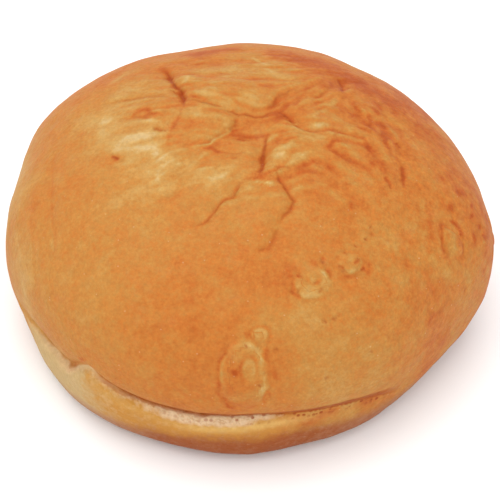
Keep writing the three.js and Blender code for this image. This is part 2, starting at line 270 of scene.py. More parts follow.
class Bench:
    """Adds nodes to the tree of one material."""

    def __init__(self, material: bpy.types.Material) -> None:
        """Clears the material's tree and starts with its coordinates."""
        material.use_nodes = True
        self.tree = material.node_tree
        self.tree.nodes.clear()
        self.place = self.node("ShaderNodeTexCoord").outputs["Object"]

    def node(
        self,
        kind: str,
        settings: dict[str, object] | None = None,
        inputs: dict[int | str, object] | None = None,
    ) -> bpy.types.Node:
        """Adds one node.

        Args:
            kind: The node's type.
            settings: Properties that are set first; "stops" fills a colour ramp.
            inputs: A value, a link or a Number for each input socket, by index or name.

        Returns:
            The new node.
        """
        node = self.tree.nodes.new(kind)
        for name, setting in (settings or {}).items():
            if name == "stops":
                self._fill_ramp(node.color_ramp.elements, setting)
            else:
                setattr(node, name, setting)
        for key, value in (inputs or {}).items():
            source = value.socket if isinstance(value, Number) else value
            if isinstance(source, bpy.types.NodeSocket):
                self.tree.links.new(source, node.inputs[key])
            else:
                node.inputs[key].default_value = source
        return node

    def _fill_ramp(
        self, elements: bpy.types.ColorRampElements, stops: Sequence[tuple[float, Colour]]
    ) -> None:
        """Gives a colour ramp its stops."""
        while len(elements) < len(stops):
            elements.new(0.5)
        for element, (position, colour) in zip(elements, stops):
            element.position = position
            element.color = colour

    def grain(self, grain: Grain) -> Number:
        """Returns soft noise around 0, from about -0.5 to 0.5 at strength 1."""
        inputs = {
            "Vector": self.place,
            "Scale": 1.0 / grain.size,
            "Detail": grain.octaves,
            "Roughness": grain.rough,
            "Distortion": grain.warp,
        }
        noise = self.node("ShaderNodeTexNoise", None, inputs)
        return (Number(self, noise.outputs[0]) - 0.5) * grain.strength

    def attribute(self, name: str) -> Number:
        """Returns a number that the mesh carries on its points."""
        return Number(self, self.node("ShaderNodeAttribute", {"attribute_name": name}).outputs["Fac"])

    def mix(self, factor: Number | float, first: object, second: object) -> bpy.types.NodeSocket:
        """Returns a mix of two colours by a factor."""
        settings = {"data_type": "RGBA", "clamp_factor": True}
        return self.node("ShaderNodeMix", settings, {0: factor, 6: first, 7: second}).outputs[2]

    def scaled(self, colour: bpy.types.NodeSocket, factor: Number) -> bpy.types.NodeSocket:
        """Returns a colour made lighter or darker by a factor."""
        inputs = {0: colour, "Scale": factor}
        return self.node("ShaderNodeVectorMath", {"operation": "SCALE"}, inputs).outputs[0]

    def line(self, trim: Trim) -> Number:
        """Returns a soft line along its marks, from their signed distance and their strength."""
        distance = self.attribute(trim.family + "_distance") + trim.offset
        return distance.bell(trim.spread) * self.attribute(trim.family + "_strength") * trim.strength

    def specks(self, specks: Specks) -> Number:
        """Returns a mask of specks: their strength inside a speck and 0 outside."""
        inputs = {"Vector": self.place, "Scale": 1.0 / specks.spacing}
        cells = self.node("ShaderNodeTexVoronoi", {"feature": "F1"}, inputs)
        picked = self.node("ShaderNodeSeparateColor", None, {0: cells.outputs["Color"]})
        least = 1.0 - specks.share
        chosen = Number(self, picked.outputs[0]).between(least, least + 0.01)
        near = Number(self, cells.outputs["Distance"]).between(specks.radius, specks.radius * 0.5)
        return near * chosen * specks.strength


# ---------------------------------------------------------------- finishes


@dataclass(frozen=True)
class CrustFinish:
    """Baked crust, from pale stretched skin to the brown foot, and the crumb in the tear, with painted shade
    and highlights.
    """

    name: str = "baked_crust"
    cream: Colour = (0.50, 0.335, 0.145, 1.0)
    straw: Colour = (0.458, 0.256, 0.072, 1.0)
    gold: Colour = (0.43, 0.188, 0.037, 1.0)
    amber: Colour = (0.44, 0.141, 0.021, 1.0)
    russet: Colour = (0.385, 0.084, 0.009, 1.0)
    sienna: Colour = (0.33, 0.058, 0.004, 1.0)
    # Painted shade in the cores of the creases, in the pores and in the small holes along the seam.
    shade_umber: Colour = (0.26, 0.036, 0.0015, 1.0)
    crumb: Colour = (0.64, 0.44, 0.26, 1.0)
    crumb_shade: Colour = (0.45, 0.22, 0.08, 1.0)
    # A brighter milky cream: the pale crumb under the lip, painted lighter against the shadow there.
    lit_milk: Colour = (0.72, 0.50, 0.28, 1.0)
    # The seam's dark brown: the tear's browned edge, darkened further as painted shade of the crevice under
    # the lip.
    seam: Colour = (0.29, 0.052, 0.001, 1.0)
    wall_cream: Colour = (0.45, 0.30, 0.125, 1.0)
    wall_gold: Colour = (0.45, 0.198, 0.031, 1.0)
    # The golden crust of the base's rim, painted lighter as a highlight where it turns up to the light.
    rim_highlight: Colour = (0.60, 0.365, 0.11, 1.0)
    foot: Colour = (0.265, 0.060, 0.011, 1.0)
    flour: Colour = (0.60, 0.45, 0.28, 1.0)
    roughness: float = 0.62
    specular: float = 0.15
    glow: float = 0.05
    glow_radius: tuple[float, float, float] = (1.0, 0.45, 0.2)
    glow_depth: float = 0.001

    blotches: Grain = Grain(0.018, 2.0, strength=0.25)
    mottling: Grain = Grain(0.0048, 4.0, 0.65, 0.4, 1.1)
    freckles: Grain = Grain(0.0021, 3.0, 0.65, strength=0.8)
    fuzz: Grain = Grain(0.0009, 3.0, 0.7, strength=0.32)
    bloom: Grain = Grain(0.0017, 4.0, 0.7)
    clouds: Grain = Grain(0.006, 2.0)
    grit: Grain = Grain(0.0006, 2.0, 0.7, strength=0.3)
    shading: Grain = Grain(0.0016, 3.0, 0.6, strength=0.35)
    ragged: Grain = Grain(0.0016, 4.0, 0.65)
    coarse: Grain = Grain(0.0045, 3.0, 0.6)
    crumb_pores: Grain = Grain(0.0008, 3.0, 0.6)
    wall_grit: Grain = Grain(0.0007, 2.0, 0.7, strength=0.3)
    sheen: Grain = Grain(0.004, 3.0, 0.6, strength=0.2)
    wrinkles: Grain = Grain(0.0011, 4.0, 0.7, strength=0.00030)
    ripples: Grain = Grain(0.0034, 3.0, 0.6, 0.5, 0.00025)
    crumb_relief: Grain = Grain(0.0011, 4.0, 0.7, strength=0.0006)

    flour_specks: Specks = Specks(0.0015, 0.15, 0.16, 0.35)
    # Painted shade of the small holes in the crumb along the seam.
    seam_holes: Specks = Specks(0.0011, 0.52, 0.5, 0.9)
    foot_specks: Specks = Specks(0.0012, 0.24, 0.4, 0.10)
    pores: Specks = Specks(0.0032, 0.13, 0.22, 0.00008)

    # Painted shade along the creases and the blister rings, with a painted highlight just inside each ring;
    # the grooves are bumps, and the hole row places the holes' painted shade.
    fold_shade: Trim = Trim("fold", 0.65, 0.30)
    fold_core_shade: Trim = Trim("fold", 0.30, 0.60)
    fold_groove: Trim = Trim("fold", 0.30, 0.00020)
    ring_shade: Trim = Trim("ring", 0.45, 0.24)
    ring_highlight: Trim = Trim("ring", 0.4, 0.24, 0.75)
    ring_groove: Trim = Trim("ring", 0.35, 0.00014)
    hole_row: Trim = Trim("hole", 1.0)

    # The first weight is how dark the painted shade in each pore is.
    pit_shade: float = 0.7
    bloom_share: float = 0.3
    shade_share: float = 2.4
    pore_shade: Span = (-0.02, 0.16)
    pore_share: float = 0.5
    cream_edge: Span = (0.1, 1.0)
    crumb_edge: Span = (0.25, 0.85)
    foot_edge: Span = (0.1, 0.95)
    foot_share: float = 0.95
    crumb_roughness: float = 0.25
    pit_depth: float = 0.0002
    relief: float = 0.8

    # How strongly the coarse or the ragged grain frays each border of the wall.
    cream_fray: Span = (1.4, 0.7)
    milk_fray: float = 0.8
    crust_fray: float = 0.8
    rim_fray: float = 1.2
    rim_share: float = 0.9
    crumb_fray: float = 1.2
    seam_fray: float = 1.8
    seam_patchiness: float = 2.2
    dust_fray: float = 0.5
    foot_fray: Span = (0.6, 0.6)

    # Heights below the lip in millimetres, where the pale wall starts and where the seam's dark brown and
    # painted shade end.
    wall_start: Span = (1.2, 1.9)
    seam_top: Span = (-1.5, -0.4)
    seam_foot: Span = (2.15, 1.6)

    def build(self) -> bpy.types.Material:
        """Builds the crust's material.

        Returns:
            The material, which reads the roll's own point attributes.
        """
        material = bpy.data.materials.new(self.name)
        bench = Bench(material)
        inputs = {
            "Base Color": self._wall(bench, self._skin(bench)),
            "Roughness": self._sheen(bench),
            "Specular IOR Level": self.specular,
            "Subsurface Weight": self.glow,
            "Subsurface Radius": self.glow_radius,
            "Subsurface Scale": self.glow_depth,
            "Normal": self._relief(bench),
        }
        shader = bench.node("ShaderNodeBsdfPrincipled", None, inputs)
        bench.node("ShaderNodeOutputMaterial", None, {"Surface": shader.outputs[0]})
        return material

    def _skin(self, bench: Bench) -> bpy.types.NodeSocket:
        """Returns the crust's colour, mottled by how far it has baked, with painted shade in creases, rings
        and pores and a painted highlight inside each ring.
        """
        mottle = bench.attribute("mottle")
        patchy = (bench.grain(self.mottling) + bench.grain(self.freckles)) * mottle
        bake_and_shade = bench.attribute("bake_and_shade") + bench.grain(self.blotches) + patchy + bench.grain(self.fuzz)
        # Painted shade along the creases and the rings, and a painted highlight just inside each ring.
        bake_and_shade = bake_and_shade + bench.line(self.fold_shade) + bench.line(self.ring_shade)
        bake_and_shade = bake_and_shade - bench.line(self.ring_highlight)
        stops = (
            (0.0, self.cream),
            (0.22, self.straw),
            (0.42, self.gold),
            (0.60, self.amber),
            (0.80, self.russet),
            (1.0, self.sienna),
        )
        skin = bench.node("ShaderNodeValToRGB", {"stops": stops}, {0: bake_and_shade}).outputs[0]
        # Painted shade in the cores of the creases and in the pores.
        crease_and_pore_shade = bench.line(self.fold_core_shade) + bench.attribute("pit") * self.pit_shade
        skin = bench.mix(crease_and_pore_shade, skin, self.shade_umber)
        dusted = bench.specks(self.flour_specks) * bench.attribute("flour")
        bloom = (bench.grain(self.bloom) + bench.grain(self.clouds)).between(0.0, 1.0)
        skin = bench.mix(dusted + bloom * mottle * self.bloom_share, skin, self.flour)
        shade = bench.grain(self.grit) + bench.grain(self.shading)
        return bench.scaled(skin, shade * mottle * self.shade_share + 1.0)

    def _wall(self, bench: Bench, skin: bpy.types.NodeSocket) -> bpy.types.NodeSocket:
        """Returns the skin with the crumb, the pale wall, the brown foot, the painted light under the lip,
        the rim's painted highlight and the seam's painted shade added below the lip.

        Args:
            bench: Where the nodes are added.
            skin: The crust's colour, with its painted shade and highlights.

        Returns:
            The colour of the whole roll.
        """
        ragged = bench.grain(self.ragged)
        coarse = bench.grain(self.coarse)
        drop = bench.attribute("drop")
        pores = bench.grain(self.crumb_pores).between(*self.pore_shade)
        crumb = bench.mix(pores * self.pore_share, self.crumb, self.crumb_shade)
        cream = bench.attribute("wall_cream") + coarse * self.cream_fray[0] + ragged * self.cream_fray[1]
        wall = bench.mix(cream.between(*self.cream_edge), self.wall_gold, self.wall_cream)
        # Painted light: the milky band under the lip is made brighter against its shadow.
        wall = bench.mix(bench.attribute("lip_light") + ragged * self.milk_fray, wall, self.lit_milk)
        wall = bench.mix(bench.attribute("wall_crust") + coarse * self.crust_fray, wall, skin)
        # Painted highlight on the golden rim of the base.
        rim_highlight = bench.attribute("rim_highlight") * (ragged * self.rim_fray + self.rim_share)
        wall = bench.mix(rim_highlight, wall, self.rim_highlight)
        opened = (bench.attribute("crumb") + ragged * self.crumb_fray).between(*self.crumb_edge)
        wall = bench.mix(opened, wall, crumb)
        below = (drop + bench.attribute("pale_lip")).between(*self.wall_start)
        skin = bench.mix(below * bench.attribute("torn"), skin, wall)
        # The seam's own brown, darkened as painted shade of the crevice under the lip.
        seam = drop.between(*self.seam_top) * (drop + ragged * self.seam_fray).between(*self.seam_foot)
        patchy = ragged * self.seam_patchiness + 1.0
        skin = bench.mix(seam * bench.attribute("seam") * patchy, skin, self.seam)
        # Painted shade of the small holes along the seam.
        skin = bench.mix(bench.specks(self.seam_holes) * bench.line(self.hole_row), skin, self.shade_umber)
        dusted = bench.specks(self.foot_specks) + bench.attribute("dusty")
        foot = bench.mix(dusted + ragged * self.dust_fray, self.foot, self.flour)
        brown = bench.attribute("foot") + coarse * self.foot_fray[0] + ragged * self.foot_fray[1]
        skin = bench.mix(brown.between(*self.foot_edge) * self.foot_share, skin, foot)
        return bench.scaled(skin, bench.grain(self.wall_grit) + 1.0)

    def _sheen(self, bench: Bench) -> Number:
        """Returns the roughness: a little smoother on the skin than in the crumb."""
        return bench.grain(self.sheen) + bench.attribute("crumb") * self.crumb_roughness + self.roughness

    def _relief(self, bench: Bench) -> bpy.types.NodeSocket:
        """Returns the normal of fine wrinkles, sharp fold lines, pores and crumb."""
        skin = bench.grain(self.wrinkles) + bench.grain(self.ripples)
        lines = bench.line(self.fold_groove) + bench.line(self.ring_groove)
        pores = bench.specks(self.pores) + bench.attribute("pit") * self.pit_depth
        rough = bench.grain(self.crumb_relief) * bench.attribute("crumb")
        inputs = {"Strength": self.relief, "Distance": 1.0, "Height": skin - lines - pores + rough}
        return bench.node("ShaderNodeBump", None, inputs).outputs[0]


@dataclass(frozen=True)
class FloorFinish:
    """Plain pale floor."""

    name: str = "pale_floor"
    colour: Colour = (0.93, 0.93, 0.93, 1.0)
    roughness: float = 0.9

    def build(self) -> bpy.types.Material:
        """Builds the floor's material."""
        material = bpy.data.materials.new(self.name)
        bench = Bench(material)
        inputs = {"Base Color": self.colour, "Roughness": self.roughness, "Specular IOR Level": 0.0}
        shader = bench.node("ShaderNodeBsdfPrincipled", None, inputs)
        bench.node("ShaderNodeOutputMaterial", None, {"Surface": shader.outputs[0]})
        return material


# ---------------------------------------------------------------- features of the crust


class Side(Enum):
    """The side of a fold, seen along its route, where the crust stands higher."""

    LEFT = 1.0
    RIGHT = -1.0


@dataclass(frozen=True)
class Fold:
    """A crease in the crust. Its route lies on the plan, or in space where it has heights."""

    route: tuple[Place, ...]
    depth: float
    higher: Side
    strength: float


@dataclass(frozen=True)
class Smear:
    """A stroke of paler (above 0) or browner (below 0) skin, along a route."""

    route: tuple[Place, ...]
    width: float
    tone: float


@dataclass(frozen=True)
class Patch:
    """An oval on the plan where the crust is paler (above 0) or browner (below 0)."""

    at: Place
    across: float
    along: float
    tone: float
    turn: float = 0.0


@dataclass(frozen=True)
class Blister:
    """A low oval blister, or a dent, with a fine groove round it; across and along are its half sizes."""

    at: Place
    across: float
    along: float
    rise: float
    ring: float


@dataclass(frozen=True)
class Pit:
    """A small dark pore."""

    at: Place
    radius: float
    depth: float


def mm(*points: Place) -> tuple[Place, ...]:
    """Returns points given in millimetres as points in metres."""
    return tuple(tuple(value * MM for value in point) for point in points)


def crease(strength: float, depth: float, *points: Place, side: Side = Side.LEFT) -> Fold:
    """Returns a crease, from how dark its painted shade is and its depth and points in millimetres."""
    return Fold(mm(*points), depth * MM, side, strength)


def wrinkle(strength: float, *points: Place) -> Fold:
    """Returns a shallow crease, from how dark its painted shade is and its points in millimetres."""
    return crease(strength, WRINKLE_DEPTH, *points)


def blister(across: float, along: float, rise: float, ring: float, at: Place) -> Blister:
    """Returns a blister, from its sizes and middle in millimetres and how clear its ring is."""
    return Blister(mm(at)[0], across * MM, along * MM, rise * MM, ring)


def pits(radius: float, *places: Place) -> tuple[Pit, ...]:
    """Returns pores, from their radius and places in millimetres."""
    return tuple(Pit(place, radius * MM, radius * PIT_DEPTH * MM) for place in mm(*places))


def smear(tone: float, width: float, *points: Place) -> Smear:
    """Returns a stroke, from its tone and its half width and points in millimetres."""
    return Smear(mm(*points), width * MM, tone)


def patch(tone: float, across: float, along: float, at: Place, turn: float = 0.0) -> Patch:
    """Returns a patch, from its tone, its half sizes and middle in millimetres and its turn in degrees."""
    return Patch(mm(at)[0], across * MM, along * MM, tone, turn)


def spots(tone: float, radius: float, *places: Place) -> tuple[Patch, ...]:
    """Returns round patches of one tone, from their radius and places in millimetres."""
    return tuple(Patch(place, radius * MM, radius * MM, tone) for place in mm(*places))


# The creases follow each other from the back of the crown to the front, then the fine wrinkles.
FOLDS = (
    crease(1.0, 0.40, (-19.7, 27.2), (-17.8, 23.8), (-17, 20.1), (-15.2, 16.2), (-14.1, 12.6), (-14, 8.6)),
    crease(0.55, 0.20, (-13.4, 11.6), (-10.2, 10.6), (-7.7, 9.7), (-5.4, 8.2), side=Side.RIGHT),
    crease(0.6, 0.25, (-6, 8.4), (-2.6, 7), (0.1, 6.6), (2.8, 6.4), (4.5, 7.2), (6.2, 8.1),
           side=Side.RIGHT),
    crease(0.6, 0.25, (5.8, 8.2), (8.1, 6.1), (10, 3.7)),
    crease(0.5, 0.15, (4.9, 9), (5.9, 11.7), (6.9, 13.4), (8.5, 14.9), (10.5, 16.2)),
    crease(0.55, 0.30, (-2.5, 5.6), (-3.2, 3.2), (-4.2, 1.1), side=Side.RIGHT),
    crease(0.35, 0.25, (-4.2, 1.1), (-6, 0.6), (-9.3, -2), (-11.4, -2.9), side=Side.RIGHT),
    crease(0.3, 0.15, (-8.7, -2.9), (-5.9, -4.7), (-3.6, -5.7), (-0.2, -4.5), side=Side.RIGHT),
    crease(0.9, 0.22, (3.9, 1.8), (3.6, -0.7), (3.1, -3), (2.9, -5.6), (2.7, -8.7), (2, -13)),
    crease(0.6, 0.25, (-12.5, -24.6), (-10.8, -23.5), (-8.7, -22.6), (-7, -19.6), (-5.4, -17.8),
           (-3.3, -17), (-1.9, -13.9), (0.4, -13.4), side=Side.RIGHT),
    crease(0.65, 0.25, (5, -9.6), (6.4, -12.8), (7.8, -15.5), (9.4, -17.8), (8.6, -19.8), (6.9, -22.3),
           (5.8, -24.6), side=Side.RIGHT),
    crease(0.35, 0.15, (6, -24.2), (5, -26.8), (3.8, -28.5), (2.3, -29.4), (0.9, -29.1), side=Side.RIGHT),
    crease(0.5, 0.15, (31.8, 3.9), (32.6, 2.1)),
    crease(0.7, 0.15, (32.7, -2.2), (32.9, -5), (32.8, -9.8)),
    crease(0.7, 0.20, (19.3, 24), (20.3, 20.5), (20.3, 16.6)),
    crease(0.25, 0.15, (12.7, 12.4), (15, 14.1), (17.7, 18.3), (19, 22)),
    crease(0.3, 0.15, (17.3, 0.5), (19.3, 2.4), (21.9, 2.6), (23.8, 1.7)),
    crease(0.3, 0.15, (-32, 15.8), (-28.6, 16), (-25.2, 15.7), (-21.1, 15), (-17.1, 14.8)),
    crease(0.5, 0.15, (-21.3, 3.2), (-19.7, 3.7), (-17.6, 1.9)),
    crease(0.12, 0.10, (-42.3, 10), (-42.5, -3.1), (-41.8, -15.7), (-41, -22)),
    wrinkle(0.42, (-29.9, 15.5), (-27.7, 15.8), (-25.5, 15.9), (-22.4, 15.1), (-19.3, 14.2), (-16.7, 14.1)),
    wrinkle(0.30, (-26.9, 8.5), (-24.3, 8.6), (-21.2, 7)),
    wrinkle(0.84, (-20.9, 3.9), (-19.7, 3.7), (-18.5, 2.5)),
    wrinkle(0.96, (-29.8, -2.6), (-28.9, -3.3), (-27.6, -4.3)),
    wrinkle(0.36, (-2.7, -0.5), (-0.8, -1.2)),
    wrinkle(0.30, (-4.4, -6.7), (-2.3, -6.6)),
    wrinkle(0.36, (-7, 21.9), (-5.6, 22), (-4.1, 21.5)),
    wrinkle(0.42, (7.8, 5.7), (9.5, 4.3), (11.4, 1.7), (13.5, 1.5), (16.3, 1.9), (18.5, 2.8), (20, 2.9)),
    wrinkle(0.48, (4.9, -9.5), (6.6, -9.8), (9.1, -9.6)),
    wrinkle(0.48, (28.7, -7.7), (29.6, -8.9), (30.3, -11)),
    wrinkle(0.60, (40.9, -13.6, 40.7), (41.1, -16, 39.5), (41, -18.3, 38.2), (41.5, -20, 36.6)),
    wrinkle(0.36, (45.6, -14.9, 35.9), (45.9, -15.9, 34.8), (45.8, -17.1, 33.9)),
    wrinkle(0.48, (10.2, -36.4), (9.9, -37.4), (10.6, -38)),
    wrinkle(0.36, (-1.6, -13.1), (0.3, -12.9), (2.8, -12.7)),
    wrinkle(0.22, (-14, 10.3), (-14.8, 8.2), (-15.4, 5.1), (-16.8, 2.1)),
    wrinkle(0.42, (13.1, -35.4), (13.9, -34.7), (14.7, -34.9)),
    wrinkle(0.48, (15.5, -32), (16.4, -32.3), (17, -32.9), (16.9, -33.8)),
    wrinkle(0.60, (18.5, -30.7), (19, -31.2), (19.5, -31.3)),
    wrinkle(0.66, (22.9, -30.5), (23.5, -30.2), (24.1, -29.4)),
    wrinkle(0.60, (22.9, -28.2), (22.3, -29.2), (21.4, -29.7)),
    wrinkle(0.60, (49.8, -8.5, 34.6), (49.8, -9.6, 34.2)),
    wrinkle(0.42, (14.8, -35.6), (14.5, -36.3), (13.8, -36.8)),
)

BLISTERS = (
    blister(5.5, 7.9, 0.5, 0.6, (-1.2, -49.2, 31.2)),
    blister(1.8, 3.0, -0.4, 0.5, (0, -48.6, 32.8)),
    blister(2.1, 1.9, 0.2, 0.55, (2.2, -44.6, 38.6)),
    blister(4.4, 3.6, 0.35, 0.5, (13.1, -35.2, 44.5)),
    blister(1.2, 1.0, -0.15, 0.6, (13.2, -34.6, 44.7)),
    blister(3.5, 2.5, 0.45, 0.5, (21.2, -29.9, 44.8)),
    blister(1.5, 1.5, 0.2, 0, (53.7, -5.0, 26.6)),
    blister(2.6, 2.3, -0.6, 0, (52.8, -2.0, 29.4)),
    blister(2.0, 2.2, -0.4, 0, (53.5, -7.7, 24.4)),
    blister(2.2, 4.4, 0.3, 0.5, (43.4, -16, 37.4)),
)

PITS = (
    *pits(0.3, (2.1, -49.7, 29.1), (25.4, -41.3, 30.3), (15.5, -40.8, 38.7), (20, -28), (22.1, -25.8),
          (24.3, -23.7), (25.8, -22.4), (25.4, -20.8)),
    *pits(0.35, (5.5, -46, 35.8), (-0.7, -46, 36.9), (17.5, -39.9, 38.7), (8.7, -37.2, 44),
          (46.4, -20.7, 26.5)),
    *pits(0.4, (16, -46.5, 27.7), (15, -30.5, 45.9), (19.6, -32, 45)),
    *pits(0.45, (10.2, -34, 45.6)),
)

